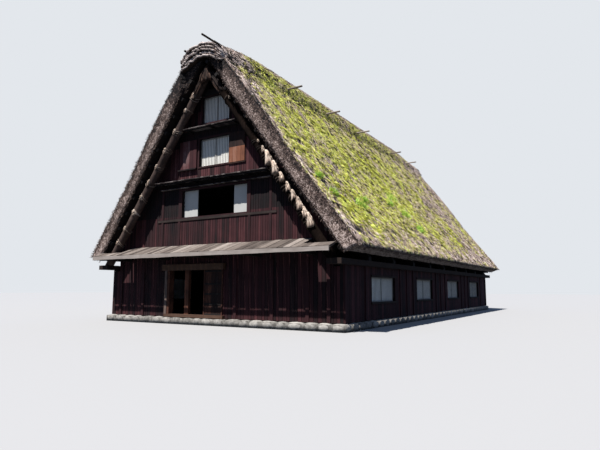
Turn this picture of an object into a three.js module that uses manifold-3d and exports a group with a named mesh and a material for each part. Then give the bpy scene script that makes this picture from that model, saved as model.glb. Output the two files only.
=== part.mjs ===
// A thatched farmhouse with a steep roof of two rafter sides, in millimetres.
// +X is to the right of the front gable, +Y runs back along the ridge, +Z is up.
// The origin is on the ground, under the middle of the house.
import * as THREE from "three";
import { mergeVertices } from "three/addons/utils/BufferGeometryUtils.js";
import Module from "manifold-3d";

const wasm = await Module();
wasm.setup();

// Driving dimensions
const GAP = 0.3; // seat between two pieces that rest on each other
const WALL_HALF_WIDTH = 6200;
const WALL_HALF_LENGTH = 12200;
const WALL_THICKNESS = 150;
const FOOTING_TOP = 300;
const FOOTING_MARGIN = 170; // stone beyond the long walls' outer faces
const FOOTING_END_MARGIN = 90; // stone beyond the entrance frame
const FOOTING_DEPTH = 620; // width of the stone ring
const FLOOR_THICKNESS = 100;

// Roof: a triangle of two outer planes over a triangle of two inner planes
const OUTER_APEX = 12400;
const OUTER_FOOT = { x: 7200, z: 3020 };
const BULGE = { height: 140, start: 1515, full: 5000, end: 7500 }; // thicker thatch under the ridge
const INNER_APEX = 11550;
const INNER_FOOT = { x: 6550, z: 2773 };
const RIDGE_FLAT = 11950; // the thatch stops here under the ridge cap
const VERGE_HALF_LENGTH = 12800; // at eye height
const EYE_HEIGHT = 1400;
const VERGE_LEAN = 0.042; // the gable ends of the thatch lean out with height
const VERGE_RECESS = { halfWidth: 1150, bottom: 10000, end: 13000 }; // room for the cap's lip

// Levels of the gables
const GROUND_TOP = 3200;
const LEDGE_LOWER = { bottom: 6140, top: 6260 };
const LEDGE_UPPER = { bottom: 8440, top: 8540 };
const GABLE_TOP = 10200;
const LEDGE_FRONT = 12700;

// Roof timbers
const PURLIN = 140;
const PURLIN_COUNT = 13;
const PURLIN_FIRST = 450;
const PURLIN_STEP = 850;
const PURLIN_INSET = 120;
const RAFTER_WIDTH = 260;
const RAFTER_DEPTH = 320;
const RAFTER_STEP = 2600;
const RAFTER_PAIRS_EACH_WAY = 4;
const PLATE = { inner: 5850, outer: 6450, bottom: 2400, top: 2600, halfLength: 12880 };
const END_RAFTER_RADIUS = 200;
const END_RAFTER_Y = 12650;
const END_RAFTER_HEAD = { x: -40, z: 11000 };
const END_RAFTER_FOOT = { x: 5993, z: 2600 };

// Entrance in the front wall, from left to right
const DOORWAY = { left: -2310, right: -380, bottom: 420, top: 2310 };
const MIDDLE_POST = { left: -1510, right: -1290 };
const LINTEL_LEFT = -2800;
const FRAME = { left: -2580, right: -250, front: 12360 };
const TRACK_RIGHT = 760;
const LINTEL_TOP = 2570;
const DOOR = { width: 1030, thickness: 45, wallGap: 5, topGap: 5 };

// Ridge
const CAP_END = 13350;
const CAP_CROWN = 12730;
const CAP_REACH = 1500; // down each slope from the outer apex
const CAP_EDGE = 170;
const CAP_EDGE_FLARE = 90; // how far the hood's tips stand further out
const CAP_EDGE_LIFT = 0.06; // share of the droop that the hood's tips rise
const CAP_SHOULDER = { down: 900, height: 300 };
const CAP_DROOP = 720;
const CAP_DROOP_LENGTH = 4800;
const CAP_DROOP_POWER = 2.3;
const CAP_CROWN_SET_BACK = 120;
const CAP_LIP_END = 13000; // the cap's lip hangs between here and the cap's end
const CAP_LIP_BOTTOM = [
  [1149, 10950],
  [900, 11050],
  [500, 11250],
  [0, 11390],
];
const POLE_RADIUS = 50;
const POLE_CLEARANCE = 0.4;
const TOP_POLE = { height: 12400, end: 13200 };
const SHOULDER_POLE = { down: 1000, height: 230 };
const CROSS_POLE_HALF_LENGTH = 1900;
const CROSS_POLE_HEIGHT = 11520;
const CROSS_POLE_Y = [-8000, -3850, 300, 6050, 9450];

const MATERIALS = {
  thatch: { color: 0x9a8b62, roughness: 1 },
  ridgeThatch: { color: 0x8f8672, roughness: 1 },
  darkBoard: { color: 0x3a211b, roughness: 0.85 },
  redBoard: { color: 0x5b3324, roughness: 0.8 },
  timber: { color: 0x4c3a2e, roughness: 0.9 },
  log: { color: 0x6b5848, roughness: 0.95 },
  greyBoard: { color: 0x9c958b, roughness: 0.95 },
  paper: { color: 0xe4e6e8, roughness: 0.7 },
  stone: { color: 0x8b877f, roughness: 0.95 },
  straw: { color: 0x6e5640, roughness: 1 },
};

const house = new THREE.Group();

// Helpers: solids

/** A geometry that holds only merged positions, as booleans need it. */
function mergedPositions(geometry) {
  const bare = geometry.index ? geometry.toNonIndexed() : geometry.clone();
  bare.deleteAttribute("normal");
  bare.deleteAttribute("uv");
  return mergeVertices(bare, 1e-3);
}

function solid(geometry) {
  const merged = mergedPositions(geometry);
  return new wasm.Manifold(
    new wasm.Mesh({
      numProp: 3,
      vertProperties: new Float32Array(merged.attributes.position.array),
      triVerts: new Uint32Array(merged.index.array),
    }),
  );
}

function geometryOf(made) {
  const mesh = made.getMesh();
  const geometry = new THREE.BufferGeometry();
  geometry.setAttribute("position", new THREE.BufferAttribute(mesh.vertProperties, 3));
  geometry.setIndex(new THREE.BufferAttribute(mesh.triVerts, 1));
  const shown = geometry.toNonIndexed();
  shown.computeVertexNormals();
  return shown;
}

/** The first geometry joined to the others. */
function join(geometries) {
  const [first, ...rest] = geometries.map(solid);
  return geometryOf(rest.reduce((sum, next) => sum.add(next), first));
}

/** The first geometry with the others cut out of it. */
function cut(base, cutters) {
  return geometryOf(cutters.map(solid).reduce((left, next) => left.subtract(next), solid(base)));
}

function keepInside(geometry, region) {
  return geometryOf(solid(geometry).intersect(solid(region)));
}

/** A box from its lowest and highest values along each axis. */
function block([x0, x1], [y0, y1], [z0, z1]) {
  const box = new THREE.BoxGeometry(x1 - x0, y1 - y0, z1 - z0);
  return box.translate((x0 + x1) / 2, (y0 + y1) / 2, (z0 + z1) / 2);
}

function shapeOf(points) {
  return new THREE.Shape(points.map(([a, b]) => new THREE.Vector2(a, b)));
}

/** An outline in X and Z, with holes, carried along Y from y0 to y1. */
function acrossSlab(outline, [y0, y1], holes = []) {
  const shape = shapeOf(outline);
  for (const hole of holes) shape.holes.push(shapeOf(hole));
  const slab = new THREE.ExtrudeGeometry(shape, { depth: y1 - y0, bevelEnabled: false });
  return slab.rotateX(Math.PI / 2).translate(0, y1, 0);
}

/** An outline in X and Y carried up from z0 to z1. */
function levelSlab(outline, [z0, z1], holes = []) {
  const shape = shapeOf(outline);
  for (const hole of holes) shape.holes.push(shapeOf(hole));
  const slab = new THREE.ExtrudeGeometry(shape, { depth: z1 - z0, bevelEnabled: false });
  return slab.translate(0, 0, z0);
}

/** An outline in Y and Z carried along X from x0 to x1. */
function alongSlab(outline, [x0, x1]) {
  const slab = new THREE.ExtrudeGeometry(shapeOf(outline), { depth: x1 - x0, bevelEnabled: false });
  // Local X, Y and Z become Y, Z and X.
  const turn = new THREE.Matrix4().set(0, 0, 1, x0, 1, 0, 0, 0, 0, 1, 0, 0, 0, 0, 0, 1);
  return slab.applyMatrix4(turn);
}

/**
 * A solid between closed sections of equal point counts: sections[i][k] is [x, y, z].
 * Each section runs anticlockwise in X and Z as seen from the front.
 */
function loft(sections) {
  const count = sections[0].length;
  const positions = sections.flat(2);
  const index = [];
  const flat = sections[0].map(([x, , z]) => new THREE.Vector2(x, z));
  const last = (sections.length - 1) * count;
  for (const [a, b, c] of THREE.ShapeUtils.triangulateShape(flat, [])) {
    index.push(a, b, c);
    index.push(last + a, last + c, last + b);
  }
  for (let i = 0; i < sections.length - 1; i++) {
    for (let k = 0; k < count; k++) {
      const near = i * count + k;
      const nearNext = i * count + ((k + 1) % count);
      index.push(near, near + count, nearNext);
      index.push(nearNext, near + count, nearNext + count);
    }
  }
  const geometry = new THREE.BufferGeometry();
  geometry.setAttribute("position", new THREE.Float32BufferAttribute(positions, 3));
  geometry.setIndex(index);
  const shown = geometry.toNonIndexed();
  shown.computeVertexNormals();
  return shown;
}

function rectangle([x0, x1], [y0, y1]) {
  return [
    [x0, y0],
    [x1, y0],
    [x1, y1],
    [x0, y1],
  ];
}

function add(name, geometry, material) {
  const mesh = new THREE.Mesh(geometry, new THREE.MeshStandardMaterial({ ...MATERIALS[material], metalness: 0 }));
  mesh.name = name;
  house.add(mesh);
  return mesh;
}

/** The same outline seen from the other side of the ridge plane. */
function mirrored(outline) {
  return outline.map(([x, z]) => [-x, z]).reverse();
}

// Helpers: the roof's planes

const innerSlope = Math.atan2(INNER_APEX - INNER_FOOT.z, INNER_FOOT.x);
const outerSlope = Math.atan2(OUTER_APEX - OUTER_FOOT.z, OUTER_FOOT.x);

/** Half the width of the roof space at a height, less a depth square to the slope. */
function innerHalfWidth(z, depth = 0) {
  return (INNER_APEX - z) / Math.tan(innerSlope) - depth / Math.sin(innerSlope);
}

/** Where the thatch ends along Y at a height. */
function vergeHalfLength(z) {
  return VERGE_HALF_LENGTH + VERGE_LEAN * (z - EYE_HEIGHT);
}

/** The point at a distance down the inner slope and a depth under it, on the right side. */
function underSlope(down, depth) {
  return {
    x: down * Math.cos(innerSlope) - depth * Math.sin(innerSlope),
    z: INNER_APEX - down * Math.sin(innerSlope) - depth * Math.cos(innerSlope),
  };
}

/** The point at a distance down the outer slope and a height over it, on the right side. */
function overSlope(down, height) {
  return {
    x: down * Math.cos(outerSlope) + height * Math.sin(outerSlope),
    z: OUTER_APEX - down * Math.sin(outerSlope) + height * Math.cos(outerSlope),
  };
}

// Footing and ground floor

function addBase() {
  const outerX = WALL_HALF_WIDTH + FOOTING_MARGIN;
  const outerY = FRAME.front + FOOTING_END_MARGIN;
  const innerX = outerX - FOOTING_DEPTH;
  const innerY = outerY - FOOTING_DEPTH;
  const outline = rectangle([-outerX, outerX], [-outerY, outerY]);
  const hole = rectangle([-innerX, innerX], [-innerY, innerY]);
  add("stone_footing", levelSlab(outline, [0, FOOTING_TOP], [hole]), "stone");

  const floorX = WALL_HALF_WIDTH - WALL_THICKNESS - GAP;
  const floorY = WALL_HALF_LENGTH - WALL_THICKNESS - GAP;
  const bottom = FOOTING_TOP + GAP;
  const floor = block([-floorX, floorX], [-floorY, floorY], [bottom, bottom + FLOOR_THICKNESS]);
  add("ground_floor", floor, "timber");
}

// Ground storey

const WALL_BOTTOM = FOOTING_TOP + GAP;
const END_WALL_HALF_WIDTH = WALL_HALF_WIDTH - WALL_THICKNESS - GAP;
const FRONT_FACE = [-WALL_HALF_LENGTH, -WALL_HALF_LENGTH + WALL_THICKNESS];
const BACK_FACE = [WALL_HALF_LENGTH - WALL_THICKNESS, WALL_HALF_LENGTH];
const PLATE_CLEARANCE = 60; // the end walls stop this far inside the plates

/** An end wall's outline between two X values, stepped in beside the wall plates. */
function endWallOutline(left, right) {
  const plateX = PLATE.inner - PLATE_CLEARANCE;
  const points = [
    [left, WALL_BOTTOM],
    [right, WALL_BOTTOM],
  ];
  if (right > plateX) {
    points.push([right, PLATE.bottom - PLATE_CLEARANCE], [plateX, PLATE.bottom - PLATE_CLEARANCE]);
    points.push([plateX, GROUND_TOP]);
  } else {
    points.push([right, GROUND_TOP]);
  }
  if (left < -plateX) {
    points.push([-plateX, GROUND_TOP], [-plateX, PLATE.bottom - PLATE_CLEARANCE]);
    points.push([left, PLATE.bottom - PLATE_CLEARANCE]);
  } else {
    points.push([left, GROUND_TOP]);
  }
  return points;
}

function addFrontGroundWall() {
  const left = endWallOutline(-END_WALL_HALF_WIDTH, FRAME.left - GAP);
  const right = endWallOutline(FRAME.right + GAP, END_WALL_HALF_WIDTH);
  add("front_wall_left", acrossSlab(left, FRONT_FACE), "darkBoard");
  add("front_wall_right", acrossSlab(right, FRONT_FACE), "darkBoard");
  const header = block([FRAME.left, FRAME.right], FRONT_FACE, [DOORWAY.top + GAP, GROUND_TOP]);
  add("front_door_header", header, "darkBoard");
}

/** Posts on a sill that is also the door's track, under a lintel that stands proud. */
function addEntrance() {
  const proud = [-FRAME.front, -WALL_HALF_LENGTH - GAP];
  const inWall = [-FRAME.front, FRONT_FACE[1]];
  const postHeight = [WALL_BOTTOM, DOORWAY.top];
  const lintel = block([LINTEL_LEFT, TRACK_RIGHT], proud, [DOORWAY.top, LINTEL_TOP]);
  const frame = join([
    block([FRAME.left, FRAME.right], inWall, [WALL_BOTTOM, DOORWAY.bottom]),
    block([FRAME.left, TRACK_RIGHT], proud, [WALL_BOTTOM, DOORWAY.bottom]),
    block([FRAME.left, DOORWAY.left], inWall, postHeight),
    block([MIDDLE_POST.left, MIDDLE_POST.right], FRONT_FACE, postHeight),
    block([DOORWAY.right, FRAME.right], FRONT_FACE, postHeight),
    lintel,
  ]);
  add("entrance_frame", frame, "redBoard");

  const back = -WALL_HALF_LENGTH - DOOR.wallGap;
  const door = block(
    [DOORWAY.right, DOORWAY.right + DOOR.width],
    [back - DOOR.thickness, back],
    [DOORWAY.bottom + GAP, DOORWAY.top - DOOR.topGap],
  );
  add("entrance_door", door, "redBoard");
}

function addBackGroundWall() {
  const outline = endWallOutline(-END_WALL_HALF_WIDTH, END_WALL_HALF_WIDTH);
  add("back_wall", acrossSlab(outline, BACK_FACE), "darkBoard");
}

const SIDE_WINDOWS = { centres: [-8400, -2800, 2800, 8400], halfWidth: 1300, bottom: 1000, top: 2000 };
const SCREEN = { thickness: 30, inset: 40 };
const CUT_MARGIN = 100; // a cutter's reach past the solid that it cuts

/** A long wall under the eaves with a plate on top, and one sheet behind its windows. */
function addSideWall(name, side) {
  const faces = [WALL_HALF_WIDTH - WALL_THICKNESS, WALL_HALF_WIDTH];
  const plateFaces = [PLATE.inner, PLATE.outer];
  const onSide = ([a, b]) => (side > 0 ? [a, b] : [-b, -a]);
  const wall = block(onSide(faces), [-WALL_HALF_LENGTH, WALL_HALF_LENGTH], [WALL_BOTTOM, PLATE.top]);
  const plate = block(onSide(plateFaces), [-PLATE.halfLength, PLATE.halfLength], [PLATE.bottom, PLATE.top]);
  const windows = SIDE_WINDOWS.centres.map((y) =>
    block(
      onSide([faces[0] - CUT_MARGIN, faces[1] + CUT_MARGIN]),
      [y - SIDE_WINDOWS.halfWidth, y + SIDE_WINDOWS.halfWidth],
      [SIDE_WINDOWS.bottom, SIDE_WINDOWS.top],
    ),
  );
  add(`${name}_wall`, cut(join([wall, plate]), windows), "darkBoard");

  const sheetInner = faces[0] - GAP - SCREEN.thickness;
  const reach = SIDE_WINDOWS.centres.at(-1) + SIDE_WINDOWS.halfWidth + SCREEN.inset;
  const sheet = block(
    onSide([sheetInner, faces[0] - GAP]),
    [-reach, reach],
    [SIDE_WINDOWS.bottom - SCREEN.inset, SIDE_WINDOWS.top + SCREEN.inset],
  );
  add(`${name}_wall_screens`, sheet, "paper");
}

// Gables over the ground storey

const GABLE_EDGE_DEPTH = PURLIN + 25; // the board walls stop under the purlins
const LOWER_WINDOW = { left: -1820, right: 1820, bottom: 4650, top: 5860, screenWidth: 800 };
const MIDDLE_WINDOW = { left: -870, right: 810, bottom: 6850, top: 8100 };
const UPPER_WINDOW = { left: -760, right: 780, bottom: 8800, top: 10000 };
const COLLAR = { halfWidth: 780, bottom: 10020, top: 10280, front: 12320 };
const SHUTTER = { thickness: 60, bottom: 6820, top: 8110 };
const SHUTTERS = {
  left: [-2020, -1000],
  right: [850, 1690],
};

function gableOutline(bottom, top) {
  const low = innerHalfWidth(bottom, GABLE_EDGE_DEPTH);
  const high = innerHalfWidth(top, GABLE_EDGE_DEPTH);
  return [
    [-low, bottom],
    [low, bottom],
    [high, top],
    [-high, top],
  ];
}

function windowHole({ left, right, bottom, top }) {
  return rectangle([left, right], [bottom, top]).reverse();
}

/** Board walls of the three attic storeys at one end of the house; end is -1 in front. */
function addGable(name, end) {
  const faces = end < 0 ? FRONT_FACE : BACK_FACE;
  const outward = (a, b) => (end < 0 ? [-b, -a] : [a, b]);
  const lower = gableOutline(GROUND_TOP + GAP, LEDGE_LOWER.bottom - GAP);
  const middle = gableOutline(LEDGE_LOWER.top + GAP, LEDGE_UPPER.bottom - GAP);
  const upper = gableOutline(LEDGE_UPPER.top + GAP, GABLE_TOP);
  add(`${name}_gable_lower`, acrossSlab(lower, faces, [windowHole(LOWER_WINDOW)]), "darkBoard");
  add(`${name}_gable_middle`, acrossSlab(middle, faces, [windowHole(MIDDLE_WINDOW)]), "darkBoard");
  const collar = block(
    [-COLLAR.halfWidth, COLLAR.halfWidth],
    outward(WALL_HALF_LENGTH - WALL_THICKNESS, COLLAR.front),
    [COLLAR.bottom, COLLAR.top],
  );
  const upperWall = join([acrossSlab(upper, faces, [windowHole(UPPER_WINDOW)]), collar]);
  add(`${name}_gable_upper`, upperWall, "darkBoard");
  addLedge(`${name}_ledge_lower`, LEDGE_LOWER, faces, end);
  addLedge(`${name}_ledge_upper`, LEDGE_UPPER, faces, end);
}

const LEDGE_END_GAP = 12; // between a ledge and the end rafters

/** A board ledge between two storeys: as wide as the wall, then between the end rafters. */
function addLedge(name, { bottom, top }, faces, end) {
  const wide = innerHalfWidth(top, GABLE_EDGE_DEPTH);
  const narrow = endRafterInnerEdge(top) - LEDGE_END_GAP;
  const inner = end < 0 ? faces[1] : faces[0];
  const outer = end < 0 ? faces[0] : faces[1];
  const tip = end * LEDGE_FRONT;
  const outline = [
    [-wide, inner],
    [wide, inner],
    [wide, outer],
    [narrow, outer],
    [narrow, tip],
    [-narrow, tip],
    [-narrow, outer],
    [-wide, outer],
  ];
  if (end < 0) outline.reverse();
  add(name, levelSlab(outline, [bottom, top]), "greyBoard");
}

/** A paper screen that lies against the inner face of its wall. */
function screenBehind({ left, right, bottom, top }, end) {
  const wallInner = WALL_HALF_LENGTH - WALL_THICKNESS - GAP;
  const inner = wallInner - SCREEN.thickness;
  const depth = end < 0 ? [-wallInner, -inner] : [inner, wallInner];
  return block(
    [left - SCREEN.inset, right + SCREEN.inset],
    depth,
    [bottom - SCREEN.inset, top + SCREEN.inset],
  );
}

function addFrontScreens() {
  const { left, right, screenWidth } = LOWER_WINDOW;
  const leftPart = { ...LOWER_WINDOW, right: left + screenWidth - SCREEN.inset };
  const rightPart = { ...LOWER_WINDOW, left: right - screenWidth + SCREEN.inset };
  add("front_screen_lower_left", screenBehind(leftPart, -1), "paper");
  add("front_screen_lower_right", screenBehind(rightPart, -1), "paper");
  add("front_screen_middle", screenBehind(MIDDLE_WINDOW, -1), "paper");
  add("front_screen_upper", screenBehind(UPPER_WINDOW, -1), "paper");
}

function addBackScreens() {
  add("back_screen_lower", screenBehind(LOWER_WINDOW, 1), "paper");
  add("back_screen_middle", screenBehind(MIDDLE_WINDOW, 1), "paper");
  add("back_screen_upper", screenBehind(UPPER_WINDOW, 1), "paper");
}

function addFrontShutters() {
  const back = -WALL_HALF_LENGTH - GAP;
  for (const [side, width] of Object.entries(SHUTTERS)) {
    const shutter = block(width, [back - SHUTTER.thickness, back], [SHUTTER.bottom, SHUTTER.top]);
    add(`front_shutter_${side}`, shutter, "redBoard");
  }
}

// Attic floors

const INNER_RAFTER_DEPTH = 420; // from the thatch to the underside of the inner rafters
const ATTIC_FLOORS = {
  lower: [GROUND_TOP - FLOOR_THICKNESS, GROUND_TOP],
  middle: [LEDGE_LOWER.top - FLOOR_THICKNESS, LEDGE_LOWER.top],
  upper: [LEDGE_UPPER.top - FLOOR_THICKNESS, LEDGE_UPPER.top],
};

function addAtticFloors() {
  const y = WALL_HALF_LENGTH - WALL_THICKNESS - GAP;
  for (const [name, [bottom, top]] of Object.entries(ATTIC_FLOORS)) {
    const x = innerHalfWidth(top, INNER_RAFTER_DEPTH) - GAP;
    add(`attic_floor_${name}`, block([-x, x], [-y, y], [bottom, top]), "timber");
  }
}

// Roof timbers

const rafterRun = END_RAFTER_FOOT.x - END_RAFTER_HEAD.x;
const rafterDrop = END_RAFTER_HEAD.z - END_RAFTER_FOOT.z;
const rafterAngle = Math.atan2(rafterDrop, rafterRun);
const EIGHT_SIDES = 8;
const flatToCorner = 1 / Math.cos(Math.PI / EIGHT_SIDES);
const END_RAFTER_EXTRA = 900; // the log's reach past both ends before it is trimmed
const TRIM_HALF_WIDTH = 1000;

/** X of the end rafters' inner side at a height. */
function endRafterInnerEdge(z) {
  const axisX = END_RAFTER_HEAD.x + ((END_RAFTER_HEAD.z - z) * rafterRun) / rafterDrop;
  return axisX - (END_RAFTER_RADIUS * flatToCorner) / Math.sin(rafterAngle);
}

/** One round rafter of a gable end, with its head cut at the ridge and its foot level. */
function endRafter(side) {
  const length = Math.hypot(rafterRun, rafterDrop) + 2 * END_RAFTER_EXTRA;
  const log = new THREE.CylinderGeometry(
    END_RAFTER_RADIUS * flatToCorner,
    END_RAFTER_RADIUS * flatToCorner,
    length,
    EIGHT_SIDES,
  );
  log.rotateY(Math.PI / EIGHT_SIDES);
  log.rotateZ(Math.PI / 2 - rafterAngle);
  const middleX = (END_RAFTER_HEAD.x + END_RAFTER_FOOT.x) / 2;
  const middleZ = (END_RAFTER_HEAD.z + END_RAFTER_FOOT.z) / 2;
  // The log lies in X and Y here; it is turned up so that its Y becomes Z.
  log.rotateX(Math.PI / 2);
  log.translate(middleX, 0, middleZ);
  const region = block(
    [GAP / 2, OUTER_FOOT.x],
    [-TRIM_HALF_WIDTH, TRIM_HALF_WIDTH],
    [PLATE.top + GAP, OUTER_APEX],
  );
  const trimmed = keepInside(log, region);
  return side > 0 ? trimmed : trimmed.rotateZ(Math.PI);
}

function addEndRafters() {
  for (const [end, sign] of [["front", -1], ["back", 1]]) {
    for (const [side, hand] of [["left", -1], ["right", 1]]) {
      const rafter = add(`${end}_rafter_${side}`, endRafter(hand), "log");
      rafter.position.y = sign * END_RAFTER_Y;
    }
  }
}

/** A square bar along the slope or along the house, as a box in the slope's own frame. */
function slopeBar([down0, down1], [y0, y1], [depth0, depth1]) {
  const bar = block([down0, down1], [y0, y1], [-depth1, -depth0]);
  return bar.rotateY(innerSlope).translate(0, 0, INNER_APEX);
}

/** Purlins on inner rafters, fused where they cross, for one side of the roof. */
function roofLattice(side) {
  const slopeLength = Math.hypot(INNER_FOOT.x, INNER_APEX - INNER_FOOT.z);
  const bars = [];
  for (let i = 0; i < PURLIN_COUNT; i++) {
    const down = PURLIN_FIRST + i * PURLIN_STEP;
    const reach = vergeHalfLength(underSlope(down, PURLIN).z) - PURLIN_INSET;
    bars.push(slopeBar([down - PURLIN / 2, down + PURLIN / 2], [-reach, reach], [GAP, PURLIN]));
  }
  for (let i = -RAFTER_PAIRS_EACH_WAY; i <= RAFTER_PAIRS_EACH_WAY; i++) {
    const y = i * RAFTER_STEP;
    const width = [y - RAFTER_WIDTH / 2, y + RAFTER_WIDTH / 2];
    const depth = [INNER_RAFTER_DEPTH - RAFTER_DEPTH, INNER_RAFTER_DEPTH];
    bars.push(slopeBar([-RAFTER_DEPTH, slopeLength + RAFTER_DEPTH], width, depth));
  }
  const region = block([GAP / 2, PLATE.outer], [-CAP_END, CAP_END], [PLATE.top + GAP, OUTER_APEX]);
  const lattice = keepInside(join(bars), region);
  return side > 0 ? lattice : lattice.rotateZ(Math.PI);
}

function addRoofLattices() {
  add("left_roof_lattice", roofLattice(-1), "timber");
  add("right_roof_lattice", roofLattice(1), "timber");
}

const LASHING = { bottom: 10350, top: 11000, bottomHalfWidth: 380, topHalfWidth: 190, thickness: 120 };

/** Straw bound over the heads of the two end rafters. */
function addApexLashings() {
  const outline = [
    [-LASHING.bottomHalfWidth, LASHING.bottom],
    [LASHING.bottomHalfWidth, LASHING.bottom],
    [LASHING.topHalfWidth, LASHING.top],
    [-LASHING.topHalfWidth, LASHING.top],
  ];
  const inner = END_RAFTER_Y + END_RAFTER_RADIUS + GAP;
  const outer = inner + LASHING.thickness;
  add("front_apex_lashing", acrossSlab(outline, [-outer, -inner]), "straw");
  add("back_apex_lashing", acrossSlab(outline, [inner, outer]), "straw");
}

// Thatch

const flatHalfWidth = ((OUTER_APEX - RIDGE_FLAT) * OUTER_FOOT.x) / (OUTER_APEX - OUTER_FOOT.z);
const thatchOuter = [
  OUTER_FOOT,
  overSlope(BULGE.end, 0),
  overSlope(BULGE.full, BULGE.height),
  overSlope(BULGE.start, BULGE.height),
  overSlope(BULGE.start, 0),
  { x: flatHalfWidth, z: RIDGE_FLAT },
];
const thatchSection = [
  [GAP / 2, INNER_APEX],
  [INNER_FOOT.x, INNER_FOOT.z],
  ...thatchOuter.map(({ x, z }) => [x, z]),
  [GAP / 2, RIDGE_FLAT],
];

/** One slope, with its ends cut back under the cap's lip and holes for the cross poles. */
function thatch(section) {
  const ends = [-1, 1].map((end) => section.map(([x, z]) => [x, end * vergeHalfLength(z), z]));
  const lipRoom = [-1, 1].map((end) => {
    const ys = [end * VERGE_RECESS.end, end * (CAP_END + CUT_MARGIN)].sort((a, b) => a - b);
    return block([-VERGE_RECESS.halfWidth, VERGE_RECESS.halfWidth], ys, [VERGE_RECESS.bottom, OUTER_APEX]);
  });
  return cut(loft(ends), [...lipRoom, ...crossPoleHoles()]);
}

function addThatch() {
  add("right_thatch", thatch(thatchSection), "thatch");
  add("left_thatch", thatch(mirrored(thatchSection)), "thatch");
}

// Ridge

/**
 * Outer side of the cap from its right edge over the crown. Towards the ends, a point hangs by its
 * share of the droop and stands out by its flare.
 */
const capOuter = [
  { ...overSlope(CAP_REACH, CAP_EDGE), share: -CAP_EDGE_LIFT, flare: CAP_EDGE_FLARE },
  { ...overSlope(CAP_SHOULDER.down, CAP_SHOULDER.height), share: 0.12 },
  { x: 450, z: 12330, share: 0.57 },
  { x: 220, z: 12620, share: 0.95 },
  { x: 0, z: CAP_CROWN, share: 1 },
];
const capInnerHalf = [
  overSlope(CAP_REACH, GAP),
  { x: flatHalfWidth + GAP, z: RIDGE_FLAT + GAP },
];

const capStations = [0, 0.05, 0.15, 0.28, 0.45, 0.7, 1].map((part) => CAP_END - part * CAP_DROOP_LENGTH);
const bothWays = (stations) => [...stations.map((s) => -s), ...[...stations].reverse()];

/** How far the crown hangs at a station: nothing past the droop length, and most at the end. */
function droopAt(station) {
  const inside = Math.max(0, 1 - (CAP_END - Math.abs(station)) / CAP_DROOP_LENGTH);
  return CAP_DROOP * inside ** CAP_DROOP_POWER;
}

/** A closed ring of the cap: its outer side at a station over one half of an inner side. */
function capRing(station, innerHalf) {
  const end = Math.abs(station) === CAP_END ? Math.sign(station) : 0;
  const droop = droopAt(station);
  const outer = capOuter.map(({ x, z, share, flare = 0 }) => ({
    x: x + (flare * droop) / CAP_DROOP,
    y: station - end * CAP_CROWN_SET_BACK * Math.max(0, share),
    z: z - droop * share,
  }));
  const inner = innerHalf.map(({ x, z }) => ({ x, y: station, z }));
  const flip = (p) => ({ ...p, x: -p.x });
  const back = inner.filter(({ x }) => x > 0).reverse();
  const ring = [...outer, ...outer.slice(0, -1).reverse().map(flip), ...inner.map(flip), ...back];
  return ring.map(({ x, y, z }) => [x, y, z]);
}

/** The part of the cap that hangs in front of the thatch at one end. */
function capLip(end) {
  const bottom = CAP_LIP_BOTTOM.map(([x, z]) => ({ x, z }));
  const stations = capStations.slice(0, 3).map((s) => end * s);
  if (end > 0) stations.reverse();
  const ys = [end * (CAP_LIP_END + GAP), end * (CAP_END + CUT_MARGIN)].sort((a, b) => a - b);
  const region = block([-OUTER_FOOT.x, OUTER_FOOT.x], ys, [0, OUTER_APEX + CAP_CROWN]);
  return keepInside(loft(stations.map((station) => capRing(station, bottom))), region);
}

function crossPole(y, radius, halfLength) {
  const pole = new THREE.CylinderGeometry(radius, radius, 2 * halfLength, EIGHT_SIDES);
  return pole.rotateZ(Math.PI / 2).translate(0, y, CROSS_POLE_HEIGHT);
}

function crossPoleHoles() {
  return CROSS_POLE_Y.map((y) => crossPole(y, POLE_RADIUS + POLE_CLEARANCE, CROSS_POLE_HALF_LENGTH + CUT_MARGIN));
}

/** A straight pole along the ridge. */
function ridgePole({ x, z, end = CAP_END }, radius) {
  const pole = new THREE.CylinderGeometry(radius * flatToCorner, radius * flatToCorner, 2 * end, EIGHT_SIDES);
  return pole.rotateY(Math.PI / EIGHT_SIDES).translate(x, 0, z);
}

/** The poles along the cap: one buried in its crown and one half sunk in each shoulder. */
function lengthPoles() {
  const right = overSlope(SHOULDER_POLE.down, SHOULDER_POLE.height + POLE_RADIUS * flatToCorner);
  const top = { x: 0, z: TOP_POLE.height, end: TOP_POLE.end };
  return { top, right, left: { ...right, x: -right.x } };
}

function addRidge() {
  const poles = lengthPoles();
  const grooves = Object.values(poles).map((pole) =>
    ridgePole({ ...pole, end: CAP_END + CUT_MARGIN }, POLE_RADIUS + POLE_CLEARANCE),
  );
  const overThatch = loft(bothWays(capStations.slice(1)).map((s) => capRing(s, capInnerHalf)));
  const cap = join([overThatch, capLip(-1), capLip(1)]);
  add("ridge_cap", cut(cap, [...crossPoleHoles(), ...grooves]), "ridgeThatch");
  CROSS_POLE_Y.forEach((y, i) => {
    add(`ridge_cross_pole_${i + 1}`, crossPole(y, POLE_RADIUS, CROSS_POLE_HALF_LENGTH), "log");
  });
  add("ridge_pole_top", ridgePole(poles.top, POLE_RADIUS), "log");
  add("ridge_pole_right", ridgePole(poles.right, POLE_RADIUS), "log");
  add("ridge_pole_left", ridgePole(poles.left, POLE_RADIUS), "log");
}

// Board roof across the foot of each gable

const PENT = {
  halfWidth: 6250,
  wallTop: 3420,
  edgeTop: 2990,
  edgeBottom: 2810,
  edge: 13420,
  edgeBoard: 60,
  thickness: 80,
  notchX: 5080,
  notchY: 12905,
  armX: [-5000, -2500, 0, 2500, 5000],
  armHalfWidth: 60,
  armBottom: 2780,
  armTipInset: 30, // into the edge board
  armSink: { wall: 40, edge: 60 }, // under the roof's top, so that the arms join the boards
  edgeOverlap: 20, // of the boards on the edge board
};
const PENT_NOTCH_Z = [2500, 3600];

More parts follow.
